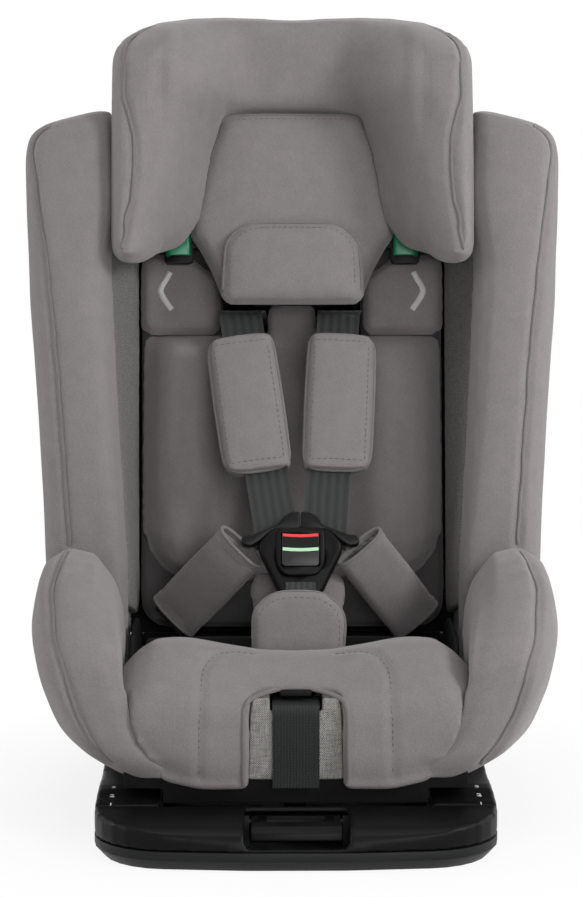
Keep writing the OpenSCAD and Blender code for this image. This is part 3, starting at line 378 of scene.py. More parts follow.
# Seat shell: the moulded pan with its flange, and the back shell with ribs,
# the cover panel behind it, and the steel headrest rods and notched rack.
shell_plastic = plastic("shell_plastic", (0.003, 0.003, 0.0032), (0.006, 0.006, 0.0063), 0.62, 0.74, 1100.0, 0.1,
                        gloss=0.12)
# The rear cover's plastic is a lighter copy of the black plastic, painted light so that the back, which the lamps leave
# dark, still shows its form.
rear_plastic_painted_light = plastic("rear_plastic_painted_light", (0.012, 0.0122, 0.0126), (0.018, 0.0183, 0.0189), 0.42, 0.54, 1000.0, 0.1,
                       gloss=0.35)
for node, name, finish in (("seat_pan", "seat_shell", shell_plastic), ("back_shell", "back_frame", shell_plastic),
                           ("back_panel", "rear_cover", rear_plastic_painted_light)):
    moulded(node, name, finish, 0.0012)
for node in ("headrest_rods", "headrest_rack", "splitter_plate", "lever_pin"):
    dress(node, steel)

# Black liner of the seat: thin foam under a dense knit that lies between the
# pan and the cushion, and shows round the cushion's edge.
def blended(tree, share, a, b):
    """A number between two others."""
    return wire(tree, "ShaderNodeMix", {0: share, 2: a, 3: b}, data_type="FLOAT").outputs[0]


weave, w_in, w_out = group("cloth_weave",
                           [("Vector", PLACE, origin), ("Pitch", VALUE, 700.0), ("Dark", COLOUR, black),
                            ("Light", COLOUR, black), ("Fleck", VALUE, 0.5)],
                           [("Color", COLOUR), ("Height", VALUE)])
cloud_pitch = maths(weave, "MULTIPLY", w_in["Pitch"], 0.11)
yarn = wire(weave, "ShaderNodeTexNoise", {"Vector": w_in["Vector"], "Scale": w_in["Pitch"], "Detail": 3.0,
                                          "Roughness": 0.65}).outputs["Fac"]
cloud = wire(weave, "ShaderNodeTexNoise", {"Vector": w_in["Vector"], "Scale": cloud_pitch, "Detail": 4.0})
rows = wire(weave, "ShaderNodeTexVoronoi", {"Vector": w_in["Vector"], "Scale": w_in["Pitch"]}).outputs["Distance"]
mild = blended(weave, w_in["Fleck"], cloud.outputs["Fac"], ranged(weave, yarn, 0.3, 0.7, 0.0, 1.0))
join(weave, dyed(weave, mild, w_in["Dark"], w_in["Light"]), w_out["Color"])
join(weave, maths(weave, "SUBTRACT", yarn, rows), w_out["Height"])


def cloth(name, dark, light, pitch=700.0, fleck=0.5, depth=0.25, sheen=0.2):
    """Knitted or woven cover cloth of two yarn colours."""
    made, tree, shade = new_finish(name, {"Roughness": 0.92, "Sheen Weight": sheen, "Sheen Roughness": 0.5,
                                          "Specular IOR Level": 0.25})
    place = wire(tree, "ShaderNodeTexCoord")
    g = wire(tree, "ShaderNodeGroup", {"Vector": place.outputs["Object"], "Pitch": pitch, "Dark": (*dark, 1),
                                       "Light": (*light, 1), "Fleck": fleck}, node_tree=weave).outputs
    coloured(tree, shade, g["Color"], g["Height"], depth, 0.0008)
    return made


def evened(piece, field, rounds):
    """A value at each point, spread evenly over its neighbours."""
    ends = np.empty(len(piece.data.edges) * 2, int)
    piece.data.edges.foreach_get("vertices", ends)
    a, b = ends.reshape(-1, 2).T
    n = len(field)
    share = np.maximum(np.bincount(a, minlength=n) + np.bincount(b, minlength=n), 1)
    for turn in range(rounds):
        field = (field + (np.bincount(a, field[b], n) + np.bincount(b, field[a], n)) / share) / 2
    return field


def ramp(value, none, full):
    """0 up to one limit, 1 from the other, and even between them."""
    return np.clip((value - none) / (full - none), 0, 1)


def eased(share):
    """The same share, with a soft start and end."""
    return share * share * (3 - 2 * share)


def blown_up(piece, pressure):
    """Where the points of the piece go when it is filled with air as cloth."""
    frames = 20
    blow = piece.modifiers.new("blow", "CLOTH")
    s = blow.settings
    s.quality = 4
    s.mass = 0.25
    s.use_pressure = True
    s.uniform_pressure_force = pressure
    s.effector_weights.gravity = 0
    s.tension_stiffness = s.compression_stiffness = 12
    s.bending_stiffness = 0.6
    blow.collision_settings.use_collision = False
    blow.point_cache.frame_start, blow.point_cache.frame_end = 1, frames
    scene = bpy.context.scene
    for step in range(1, frames + 1):
        scene.frame_set(step)
    co = mesh_points(piece.evaluated_get(bpy.context.evaluated_depsgraph_get()))
    piece.modifiers.remove(blow)
    scene.frame_set(1)
    return co


def stuffed(node, name, material, voxel=0.005, front=(0, -1, 0), cap=0.006, slim=0.002, relax=4, pressure=4.0,
            grow=0.0, shape=None, settle=5):
    """A padded piece: the node's form, remeshed, drawn in a little, then blown up as cloth on the side that shows.
    cap is the most that it swells, slim how far it is drawn in first, grow how far its hidden side stands out."""
    piece = remeshed(node, name, voxel, relax)
    if shape:
        plain = mesh_points(piece)
        move = shape(plain.copy()) - plain
        put_points(piece, plain + np.stack([evened(piece, m, settle) for m in move.T], 1))
    facing = mesh_points(piece, "normal")
    free = eased(ramp(facing @ np.array(Vector(front).normalized()), -0.25, 0.35))
    start = mesh_points(piece) + facing * (grow * (1 - free) - slim * free)[:, None]
    put_points(piece, start)
    swell = np.clip(((blown_up(piece, pressure) - start) * facing).sum(1), 0, cap) * free
    swell = evened(piece, swell, rounds=40)
    put_points(piece, start + facing * swell[:, None])
    fine = piece.modifiers.new("fine", "SUBSURF")
    fine.levels = fine.render_levels = 1
    apply_all(piece)
    bpy.ops.object.shade_smooth()
    stand_in(piece, node, material)
    return piece


black_knit = cloth("black_knit", (0.006, 0.006, 0.007), (0.014, 0.014, 0.014), 800.0, 0.6, 0.3, 0.1)
stuffed("seat_liner", "seat_liner_foam", black_knit, 0.006, (0, -0.6, 0.8), 0.004, 0.001, 3, 3.0)

# Seat cushion: moulded foam under a grey knit cover, with a stitched apron that
# hangs over the front and an arched opening for the harness strap.
grey_cloth = cloth("grey_cloth", (0.168, 0.1525, 0.153), (0.25, 0.2285, 0.231))
thread = cloth("grey_thread", (0.10, 0.096, 0.094), (0.15, 0.145, 0.142), 1500.0, 0.5, 0.1)
edge_cloth = cloth("edge_piping", (0.135, 0.128, 0.124), (0.20, 0.19, 0.186), 900.0)


def seam_line(piece, stops, step=0.003, closed=False):
    """A smooth line through the stops in millimetres, laid on the piece: places and normals."""
    p = np.array(stops, float) / 1000
    n = len(p)
    line = []
    for i in range(n if closed else n - 1):
        a, b, c, d = (p[(i + k) % n] if closed else p[min(max(i + k, 0), n - 1)] for k in (-1, 0, 1, 2))
        for t in np.arange(0, 1, step / max(step, np.linalg.norm(c - b))):
            line.append(0.5 * (2 * b + (c - a) * t + (2 * a - 5 * b + 4 * c - d) * t * t
                               + (3 * b - a - 3 * c + d) * t ** 3))
    if not closed:
        line.append(p[-1])
    spots, ups = [], []
    for q in line:
        spot, up = piece.closest_point_on_mesh(Vector(q))[1:3]
        spots.append(spot)
        ups.append(up)
    spots, ups = np.array(spots), np.array(ups)
    seam_rounds = 8
    for turn in range(seam_rounds):
        spots[1:-1] = (spots[:-2] + 2 * spots[1:-1] + spots[2:]) / 4
        ups[1:-1] = (ups[:-2] + 2 * ups[1:-1] + ups[2:]) / 4
    return spots, ups / np.linalg.norm(ups, axis=1)[:, None]


def groove(piece, line, width, depth):
    """Pulls the cover in along a sewn line."""
    tree = KDTree(len(line[0]))
    for i, q in enumerate(line[0]):
        tree.insert(q, i)
    tree.balance()
    co, n = mesh_points(piece), mesh_points(piece, "normal")
    lo, hi = line[0].min(0) - width, line[0].max(0) + width
    for i in np.nonzero(((co > lo) & (co < hi)).all(1))[0]:
        spot, k, far = tree.find(co[i])
        if far < width and n[i] @ line[1][k] > 0.2:
            co[i] -= n[i] * depth * (1 - (far / width) ** 2) ** 2
    put_points(piece, co)


def cordage(name, line, thick, material, owner, lift=0.0, closed=False):
    """Piping along a line: a round tube half sunk into the cover."""
    curve = bpy.data.curves.new(name, "CURVE")
    curve.dimensions = "3D"
    curve.bevel_depth, curve.bevel_resolution = thick, 2
    curve.use_fill_caps = True
    run = curve.splines.new("POLY")
    run.points.add(len(line[0]) - 1)
    for point, q, up in zip(run.points, *line):
        point.co = (*(q + up * lift), 1)
    run.use_cyclic_u = closed
    piece = bpy.data.objects.new(name, curve)
    bpy.context.collection.objects.link(piece)
    only(piece)
    bpy.ops.object.convert(target="MESH")
    piece = bpy.context.object
    bpy.ops.object.shade_smooth()
    piece.data.materials.clear()
    piece.data.materials.append(material)
    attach(piece, owner)


def stitches(name, lines, material, owner):
    """Rows of short thread stitches along lines, as one piece."""
    length, gap, thick, lift = 0.0034, 0.0018, 0.0005, 0.0002
    verts, faces = [], []
    for spots, ups in lines:
        far = np.concatenate([[0], np.cumsum(np.linalg.norm(np.diff(spots, axis=0), axis=1))])
        at = 0.0
        while at + length < far[-1]:
            ends = [np.array([np.interp(d, far, spots[:, k]) for k in range(3)])
                    for d in (at, at + length / 2, at + length)]
            up = np.array([np.interp(at, far, ups[:, k]) for k in range(3)])
            run = ends[2] - ends[0]
            run /= np.linalg.norm(run)
            side = np.cross(run, up)
            o = len(verts)
            for e, f in zip(ends, (0.4, 1, 0.4)):
                for a, b in ((1, 0), (0, 1), (-1, 0), (0, -1)):
                    verts.append(e + (side * a + up * b * 0.9) * thick * f + up * lift * f)
            for r in (0, 4):
                for k in range(4):
                    faces.append((o + r + k, o + r + 4 + k, o + r + 4 + (k + 1) % 4, o + r + (k + 1) % 4))
            faces += [(o, o + 1, o + 2, o + 3), (o + 11, o + 10, o + 9, o + 8)]
            at += length + gap
    mesh = bpy.data.meshes.new(name)
    mesh.from_pydata([tuple(v) for v in verts], [], faces)
    piece = bpy.data.objects.new(name, mesh)
    bpy.context.collection.objects.link(piece)
    only(piece)
    on_all(bpy.ops.mesh.normals_make_consistent, inside=False)
    piece.data.materials.append(material)
    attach(piece, owner)


def mirrored(stops):
    return [(-x, y, z) for x, y, z in stops]


def full_apron(co):
    """The apron's sides swell out to the bolsters, and its lower corners tuck in behind them."""
    x, y, z = np.abs(co[:, 0]), co[:, 1], co[:, 2]
    out = np.interp(z, [0.050, 0.062, 0.085, 0.105, 0.120, 0.140, 0.160],
                    [0.0, 0.004, 0.011, 0.012, 0.011, 0.006, 0.002])
    out = out * ramp(x, 0.075, 0.110) * ramp(y, -0.10, -0.15)
    tuck = ramp(x, 0.078, 0.123) * ramp(z, 0.100, 0.065) * ramp(y, -0.15, -0.19)
    co[:, 0] += np.sign(co[:, 0]) * out
    co[:, 1] += 0.010 * tuck
    co[:, 2] += 0.008 * tuck
    return co


seat_pad = stuffed("seat_cushion", "seat_pad", grey_cloth, 0.0045, (0, -0.6, 0.8), 0.007, 0.003, 6, grow=0.0015,
                   shape=full_apron)
apron = [(-34, -146, 160), (-50, -149, 158), (-64, -157, 155), (-72, -170, 150), (-75, -179, 144), (-77, -199, 120),
         (-78, -201, 92), (-79, -200, 60)]
both_aprons = (apron, mirrored(apron))
for line in [seam_line(seat_pad, s) for s in both_aprons]:
    groove(seat_pad, line, 0.007, 0.0016)
stitches("seat_pad_stitches", [seam_line(seat_pad, s) for s in both_aprons], thread, "seat")
arch = [(-41, -202, 54), (-41, -203, 76), (-40, -203, 100), (-39, -203, 118), (-33, -203, 130), (-20, -203, 136),
        (0, -203, 137)]
arch = arch + mirrored(arch[:-1])[::-1]
cordage("arch_piping", seam_line(seat_pad, arch), 0.0022, edge_cloth, "seat")

# Light tweed panel behind the arch, held under the apron's edge, and the
# moulded housing and button of the strap's adjuster above it.
tweed, t_in, t_out = group("tweed_weave",
                           [("Vector", PLACE, origin), ("Pitch", VALUE, 0.0017), ("Dark", COLOUR, black),
                            ("Light", COLOUR, black)],
                           [("Color", COLOUR), ("Height", VALUE)])
cut = wire(tweed, "ShaderNodeSeparateXYZ", {0: t_in["Vector"]}).outputs
around = maths(tweed, "ADD", cut[0], cut[1])
turn = maths(tweed, "DIVIDE", 2 * math.pi, t_in["Pitch"])
waves = [maths(tweed, "SINE", maths(tweed, "MULTIPLY", along, turn)) for along in (around, cut[2])]
over = maths(tweed, "MULTIPLY", *waves)
spread_out = wire(tweed, "ShaderNodeCombineXYZ", {0: around, 1: cut[2]})
yarns = []
for stretch in ((1500, 160, 1), (160, 1500, 1)):
    run = wire(tweed, "ShaderNodeMapping", {0: spread_out.outputs[0], 3: stretch})
    yarn = wire(tweed, "ShaderNodeTexNoise", {"Vector": run.outputs[0], "Scale": 0.6, "Detail": 2.0})
    yarns.append(yarn.outputs["Fac"])
on_top = ranged(tweed, over, -0.25, 0.25, 0.0, 1.0)
pick = blended(tweed, on_top, *yarns)
check = blended(tweed, 0.4, ranged(tweed, pick, 0.30, 0.70, 0.0, 1.0), on_top)
join(tweed, dyed(tweed, check, t_in["Dark"], t_in["Light"]), t_out["Color"])
join(tweed, maths(tweed, "ADD", over, pick), t_out["Height"])


def tweed_cloth(name, dark, light):
    """Coarse two-tone tweed."""
    made, tree, shade = new_finish(name, {"Roughness": 0.95, "Sheen Weight": 0.1, "Specular IOR Level": 0.2})
    place = wire(tree, "ShaderNodeTexCoord")
    g = wire(tree, "ShaderNodeGroup", {"Vector": place.outputs["Object"], "Pitch": 0.0018, "Dark": (*dark, 1),
                                       "Light": (*light, 1)}, node_tree=tweed).outputs
    coloured(tree, shade, g["Color"], g["Height"], 0.5)
    return made


tweed_pale = tweed_cloth("tweed_pale", (0.07, 0.068, 0.064), (0.44, 0.43, 0.405))


def short_panel(co):
    """The panel ends above the apron's edge, so the strap hangs out below it."""
    co[:, 2] += 0.010 * ramp(co[:, 2], 0.085, 0.055)
    return co


stuffed("front_panel", "arch_panel", tweed_pale, 0.0025, (0, -1, 0), 0.001, 0.0003, 1, 2.0, shape=short_panel)
moulded("adjuster_housing", "adjuster_case", black_plastic)
moulded("adjuster_button", "adjuster_release", black_plastic, 0.0006)

# Side bolsters of the seat: foam blocks under the same grey cover, closed by a
# piped seam along the outside.
bolster_seam = [(-195, -62, 227), (-199, -107, 218), (-202, -134, 207), (-200, -159, 193), (-198, -178, 177),
                (-189, -199, 149), (-179, -200, 118), (-168, -200, 92), (-155, -192, 65)]


def lean(co):
    """The bolster's inner face leans outwards, its foot is drawn in and its top is round."""
    out = np.interp(co[:, 2], [0.054, 0.062, 0.070, 0.080, 0.095, 0.115, 0.145, 0.165, 0.185, 0.205, 0.229],
                    [-0.032, -0.023, -0.014, -0.004, 0.004, 0.006, 0.004, 0.008, 0.015, 0.023, 0.028])
    inner = ramp(np.abs(co[:, 0]), 0.200, 0.128)
    co[:, 0] += np.sign(co[:, 0]) * out * inner
    co[:, 2] -= 0.012 * inner ** 2 * ramp(co[:, 2], 0.17, 0.23)
    return co


def piped(pad, name, stops, owner):
    """A sewn line with piping in it, sunk into the pad."""
    groove(pad, seam_line(pad, stops), 0.008, 0.0025)
    cordage(name, seam_line(pad, stops), 0.0017, edge_cloth, owner)


for side, sign in (("left", 1), ("right", -1)):
    pad = stuffed(f"bolster_{side}", f"seat_bolster_{side}", grey_cloth, 0.005, (-0.6 * sign, -0.6, 0.5), 0.006, 0.003,
                  14, shape=lean)
    piped(pad, f"bolster_piping_{side}", bolster_seam if sign > 0 else mirrored(bolster_seam), "seat")

# Side wings of the back: deep foam shells in grey, with a piped seam where the
# inner and outer covers meet, and a tweed panel inside each.
wing_seam = [(-220, 85, 588), (-231, 84, 574), (-234, 80, 559), (-229, 64, 530), (-224, 52, 499), (-218, 38, 461),
             (-213, 27, 422), (-208, 16, 372), (-204, 7, 324), (-200, -1, 272), (-196, -9, 221)]


def near_head(co):
    """The wing's inner face comes in towards the headrest at the top."""
    near = eased(ramp(co[:, 2], 0.45, 0.53)) * ramp(np.abs(co[:, 0]), 0.215, 0.185)
    co[:, 0] -= np.sign(co[:, 0]) * 0.010 * near
    return co


tweed_dark = tweed_cloth("tweed_dark", (0.055, 0.054, 0.051), (0.29, 0.285, 0.27))
for side, sign in (("left", 1), ("right", -1)):
    pad = stuffed(f"wing_{side}", f"side_wing_{side}", grey_cloth, 0.005, (0.1 * sign, -1, 0.2), 0.006, 0.003,
                  shape=near_head)
    piped(pad, f"wing_piping_{side}", wing_seam if sign > 0 else mirrored(wing_seam), "seat")
    stuffed(f"knit_panel_{side}", f"inner_panel_{side}", tweed_dark, 0.004, (0.8 * sign, -0.6, 0.1), 0.003, 0.001)

# Back: a thin lining on the shell, one foam pad with two upright rolls and a
# sunk middle, and two shoulder flaps with embroidered arrows that show where
# the belt goes.
# The lining's colour is its own grey darkened further as painted shade, for the shade that falls on it deep in the
# back.
lining_painted_shade = cloth("lining_cloth_painted_shade", (0.046, 0.0425, 0.0425), (0.070, 0.0655, 0.066))
stuffed("back_liner", "back_lining", lining_painted_shade, 0.006, (0, -0.97, 0.26), 0.002, 0.0005, 2, 3.0, grow=0.002)
back_tilt = math.radians(15)
back_sin, back_cos = math.sin(back_tilt), math.cos(back_tilt)
back_foot = (85, 120)


def at_back(x, y, s):
    """A place in the back's own frame in millimetres: across it, behind its face and up along it."""
    return (x, back_foot[0] + y * back_cos + s * back_sin, back_foot[1] - y * back_sin + s * back_cos)


def in_back(co):
    """Points in the back's own frame, in metres: how far from the middle, behind its face and up along it."""
    y, z = co[:, 1] - back_foot[0] / 1000, co[:, 2] - back_foot[1] / 1000
    return np.abs(co[:, 0]), y * back_cos - z * back_sin, y * back_sin + z * back_cos


def moved_on_back(co, inwards, upwards):
    """Points moved in the back's own frame."""
    co[:, 1] += inwards * back_cos + upwards * back_sin
    co[:, 2] += upwards * back_cos - inwards * back_sin
    return co


def rolled_back(co):
    """Two upright rolls with a sunk middle between them, and round lower corners."""
    x, y, s = in_back(co)
    rise = (0.016 + 0.030 * ramp(x, 0.090, 0.136) ** 2) * ramp(s, 0.14, 0.036)
    roll = np.exp(-((x - 0.108) / 0.018) ** 2)
    sink = (0.009 * eased(ramp(x, 0.088, 0.050)) - 0.003 * roll) * ramp(y, -0.012, -0.030)
    return moved_on_back(co, sink, rise)


back_front = (0, -0.97, 0.26)
stuffed("back_cushion", "back_pad", grey_cloth, 0.005, back_front, 0.006, 0.002, grow=0.002, shape=rolled_back)
pale_thread = cloth("pale_thread", (0.52, 0.51, 0.50), (0.72, 0.71, 0.70), 1500.0, 0.6, 0.4, 0.1)
arrow_line = ((111, 333), (115, 325.5), (120.5, 316), (115.5, 306.5), (109.5, 298))
for side, k in (("left", -1), ("right", 1)):
    flap = stuffed(f"shoulder_flap_{side}", f"shoulder_flap_pad_{side}", grey_cloth, 0.004, back_front, 0.004, 0.001, 3,
                   grow=0.0025)
    arrow = [at_back(k * x, -25, s) for x, s in arrow_line]
    cordage(f"arrow_{side}", seam_line(flap, arrow, 0.002), 0.0034, pale_thread, "seat", -0.002)

# Headrest: a moulded carrier with its lever, a wide cushion with two side
# wings, a centre pad and a lower pad, and two green belt guides.
moulded("headrest_carrier", "headrest_frame", black_plastic)
moulded("headrest_lever", "headrest_release", black_plastic)
guide_green = plastic("guide_green", (0.002, 0.13, 0.058), (0.004, 0.185, 0.082), 0.3, 0.42)
for side in ("left", "right"):
    moulded(f"belt_guide_{side}", f"belt_hook_{side}", guide_green, 0.0008)


def deep_wings(co):
    """The wings stand forward from the seam of the centre panel, and the band between them lies back.
    The solid's front and rear, the seam and the wanted front are lines in millimetres."""
    x, y, s = (1000 * v for v in in_back(co))
    across = [0, 30, 50, 60, 70, 80, 90, 100, 110, 120, 135, 150]
    face = np.interp(x, across, [-74, -75, -77.5, -79, -80, -83, -88, -94, -105, -126, -149, -149])
    rear = np.interp(x, across, [-41, -42, -43, -44, -45, -46, -49, -53, -56, -61, -72, -89])
    seam = np.interp(s, [340, 368, 400, 440, 456, 466, 476], [95, 90, 83, 75, 69, 62, 50])
    wish = np.interp(x - seam, [-64, -12, 0, 8, 20, 35, 50, 62], [-66, -67, -70, -84, -110, -132, -144, -149])
    push = (wish - face) * np.interp(s, [500, 522, 540, 556], [1, 0.75, 0.4, 0.0]) * ramp(x, 150, 135)
    push = push * np.clip((rear - y) / (rear - face), 0, 1.05) / 1000
    rise = 0.008 * eased(ramp(x, 72, 42)) * ramp(s, 510, 470)
    return moved_on_back(co, push, rise)


def tall_panel(co):
    """The centre panel reaches up to the band, and its lower corners slant in under the neck pad."""
    co[:, 0] *= 1.025
    x, y, s = in_back(co)
    low = np.interp(x, [0.058, 0.063, 0.072, 0.090, 0.095], [0.003, 0.006, 0.018, 0.034, 0.036])
    foot = np.interp(x, [0.055, 0.085], [0.296, 0.312])
    rise = 0.008 * np.clip((s - 0.42) / 0.04, 0, 1.1) + low * ramp(s, 0.385, foot)
    return moved_on_back(co, 0, rise)


def wide_neck(co):
    """The neck pad hangs down over the strap slots."""
    drop = 0.006 * ramp(in_back(co)[2], 0.345, 0.310)
    co[:, 0] *= 1.07
    return moved_on_back(co, 0, -drop)


def both_halves(half):
    """A line on the back from its left half to its right one; the last stop is in the middle."""
    return [(-x, s) for x, s in half] + half[-2::-1]


def on_back(stops, y):
    return [at_back(x, y, s) for x, s in stops]


head = stuffed("headrest_cushion", "headrest_shell_pad", grey_cloth, 0.0045, (0, -1, 0.25), 0.007, 0.003, 6, grow=0.001,
               shape=deep_wings, settle=18)
head_seam = [(-130, 134, 671), (-144, 118, 663), (-150, 95, 654), (-151, 68, 634), (-150, 62, 610), (-145, 57, 593),
             (-140, 52, 575), (-138, 47, 556), (-138, 42, 538), (-140, 37, 520), (-143, 32, 503), (-146, 28, 487),
             (-150, 26, 477)]
for side, stops in (("left", head_seam), ("right", mirrored(head_seam))):
    piped(head, f"headrest_piping_{side}", stops, "headrest")
centre = stuffed("headrest_pad", "headrest_centre_pad", grey_cloth, 0.004, back_front, 0.005, 0.001, 3, grow=0.001,
                 shape=tall_panel)
rim = both_halves([(90, 372), (85, 408), (77, 442), (71, 457), (62, 468), (46, 472.5), (0, 473)])
cordage("centre_pad_piping", seam_line(centre, on_back(rim, -60)), 0.0014, edge_cloth, "headrest", 0.0003)
neck = stuffed("headrest_lower_pad", "headrest_neck_pad", grey_cloth, 0.004, back_front, 0.005, 0.002, 3, grow=0.001,
               shape=wide_neck)
arc = both_halves([(63, 306), (62.5, 330), (60, 349), (53, 361), (40, 367), (20, 368), (0, 368)])
cordage("neck_pad_piping", seam_line(neck, on_back(arc, -78)), 0.0013, edge_cloth, "headrest", 0.0002)
in_rim = [(x * 0.955, 372 + (s - 372) * 0.955) for x, s in rim]
in_neck = [(x * 0.92, 330 + (s - 330) * 0.88) for x, s in arc]
stitches("headrest_stitches", [seam_line(centre, on_back(in_rim, -66)), seam_line(neck, on_back(in_neck, -86))], thread,
         "headrest")

# Harness: 38 mm polyester webbing with woven ribs, over both shoulders, round
# the hips and between the legs, and the strap that tightens it.
def webbing(name, ribs, low, high, depth, ridge=1.0, sheen=0.12):
    """Woven polyester tape: ribs along it and fine picks across it, on the strap's own UV map."""
    made, tree, shade = new_finish(name, {"Roughness": 0.6, "Sheen Weight": sheen, "Specular IOR Level": 0.3})
    turn, picks, slant, pick_height = 2 * math.pi, 430, 15, 0.4
    place = wire(tree, "ShaderNodeTexCoord")
    cut = wire(tree, "ShaderNodeSeparateXYZ", {0: place.outputs["UV"]}).outputs
    wave = maths(tree, "COSINE", maths(tree, "MULTIPLY", cut[0], turn * ribs))
    twill = maths(tree, "ADD", maths(tree, "MULTIPLY", cut[1], turn * picks),
                  maths(tree, "MULTIPLY", cut[0], turn * slant))
    thin = maths(tree, "MULTIPLY", maths(tree, "SINE", twill), pick_height)
    height = maths(tree, "ADD", maths(tree, "MULTIPLY", wave, ridge), thin)
    tone = ranged(tree, height, -ridge - 0.3, ridge + 0.3, 0.0, 1.0)
    coloured(tree, shade, dyed(tree, tone, (*low, 1), (*high, 1)), height, depth)
    return made


web = webbing("webbing", 5, (0.012, 0.0125, 0.013), (0.026, 0.027, 0.028), 0.4)
web_flat = webbing("flat_webbing", 15, (0.0004, 0.0004, 0.0004), (0.0105, 0.0118, 0.0126), 0.6, 0.25, 0.01)


buckle_tilt, buckle_x, buckle_z = math.radians(20), 6, 210


def at_buckle(x, y, z):
    """A place in the buckle's own frame in millimetres: across it, behind its middle and up along it."""
    sin, cos = math.sin(buckle_tilt), math.cos(buckle_tilt)
    return (buckle_x + x, y * cos + z * sin, buckle_z - y * sin + z * cos)


def walled(piece, thick):
    """Gives a sheet its thickness, half to each side."""
    wall = piece.modifiers.new("wall", "SOLIDIFY")
    wall.thickness, wall.offset = thick, 0
    apply_all(piece)


def ribbon(name, route, across=(1, 0, 0), width=0.038, step=0.004, tape=web):
    """Webbing along a route in millimetres: a grid laid along it, given its thickness."""
    rows, thick = 6, 0.0014
    p = np.array(route, float) / 1000
    n = len(p)
    line = []
    for i in range(n - 1):
        a, b, c, d = (p[min(max(i + k, 0), n - 1)] for k in (-1, 0, 1, 2))
        size = np.linalg.norm(c - b)
        for t in np.arange(0, 1, step / max(step, size)):
            # Centripetal pull keeps the short bends from overshooting
            m1 = (c - a) * min(1, size / max(np.linalg.norm(c - a), 1e-9)) * 0.5
            m2 = (d - b) * min(1, size / max(np.linalg.norm(d - b), 1e-9)) * 0.5
            line.append((2 * t ** 3 - 3 * t * t + 1) * b + (t ** 3 - 2 * t * t + t) * m1
                        + (3 * t * t - 2 * t ** 3) * c + (t ** 3 - t * t) * m2)
    line.append(p[-1])
    line = np.array(line)
    bpy.ops.object.select_all(action="DESELECT")
    bpy.ops.mesh.primitive_grid_add(x_subdivisions=rows, y_subdivisions=len(line) - 1, size=1)
    piece = bpy.context.object
    piece.name = name
    run = np.gradient(line, axis=0)
    run /= np.linalg.norm(run, axis=1)[:, None]
    side = np.array(across, float) - (run @ np.array(across, float))[:, None] * run
    side /= np.linalg.norm(side, axis=1)[:, None]
    far = np.concatenate([[0], np.cumsum(np.linalg.norm(np.diff(line, axis=0), axis=1))])
    co = mesh_points(piece)
    u = co[:, 0] + 0.5
    k = np.rint((co[:, 1] + 0.5) * (len(line) - 1)).astype(int)
    put_points(piece, line[k] + side[k] * ((u - 0.5) * width)[:, None])
    marks = piece.data.uv_layers.active.data
    for loop, mark in zip(piece.data.loops, marks):
        mark.uv = (u[loop.vertex_index], far[k[loop.vertex_index]])
    walled(piece, thick)
    bpy.ops.object.shade_smooth_by_angle(angle=math.radians(50))
    piece.data.materials.append(tape)
    return piece


def strap_top(k):
    """Where a shoulder strap turns back over the neck pad's foot; the two don't hang quite alike."""
    return at_back(k * 45 - (2 if k < 0 else 3), -52, 289)


def hip_line(k):
    """The two ends of a hip strap and the way across it."""
    near, far = Vector(at_buckle(k * 49.5, -1, 9.5)), Vector((k * 112, 58, 140))
    return near, far, (far - near).normalized().cross(Vector((0, -1, 0.2)))


for side, k in (("left", -1), ("right", 1)):
    front = ribbon(f"shoulder_strap_{side}", [at_buckle(k * 21, 5, 6), at_buckle(k * 22, 5.3, 28), strap_top(k),
                                              at_back(k * 44, -40, 293.5), at_back(k * 43, -28, 294.5),
                                              at_back(k * 40, 34, 294.5), at_back(k * 39, 41, 290),
                                              at_back(k * 38, 44, 280)])
    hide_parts(f"harness_strap_{side}")
    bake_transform(front)
    rear = ribbon(f"shoulder_strap_rear_{side}", [at_back(k * 20, 51.4, 166), at_back(k * 38, 44, 280)])
    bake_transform(rear)
    near, far, across = hip_line(k)
    lap = ribbon(f"lap_strap_{side}", [tuple(near + (far - near).normalized() * 7), tuple(far)], tuple(across), 0.034)
    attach(lap, "seat")
tail = ribbon("tightening_strap", [at_back(0, 48, 136), at_back(0, 46, 60), at_back(0, 45, 12), (0, 122, 103),
                                   (0, 108, 92), (0, 96, 88), (0, -118, 88), (0, -126, 91.5), (0, -130, 98),
                                   (0, -136, 112.5), (0, -141, 119.5), (0, -177, 119.5), (0, -184, 118.9),
                                   (0, -189.6, 116.5), (0, -191, 110.5), (0, -191, 66), (0, -191.8, 50)], tape=web_flat)
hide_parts("adjuster_strap")
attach(tail, "seat")
crotch = ribbon("leg_strap", [(6, -30, 96), (6, -30, 128), at_buckle(0, 0, -58), at_buckle(0, 0, -31)], width=0.028)
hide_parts("crotch_strap")
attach(crotch, "seat")

# Pads of the harness: stitched tubes of grey cloth on the shoulder and hip
# straps with piped edges, and the crotch pad with its stitched arch.
def strap_frame(a, b, across):
    """Places in a strap's own frame: across it, behind it and along it, in millimetres."""
    a, b = Vector(a), Vector(b)
    run = (b - a).normalized()
    side = Vector(across)
    side = (side - side.dot(run) * run).normalized()
    back = run.cross(side)
    return lambda x, y, z: tuple(a + side * x + back * y + run * z)


def squared(place, half):
    """A place on a circle taken to a flat ring with squarer ends."""
    return half * np.sign(place) * np.abs(place) ** 0.8


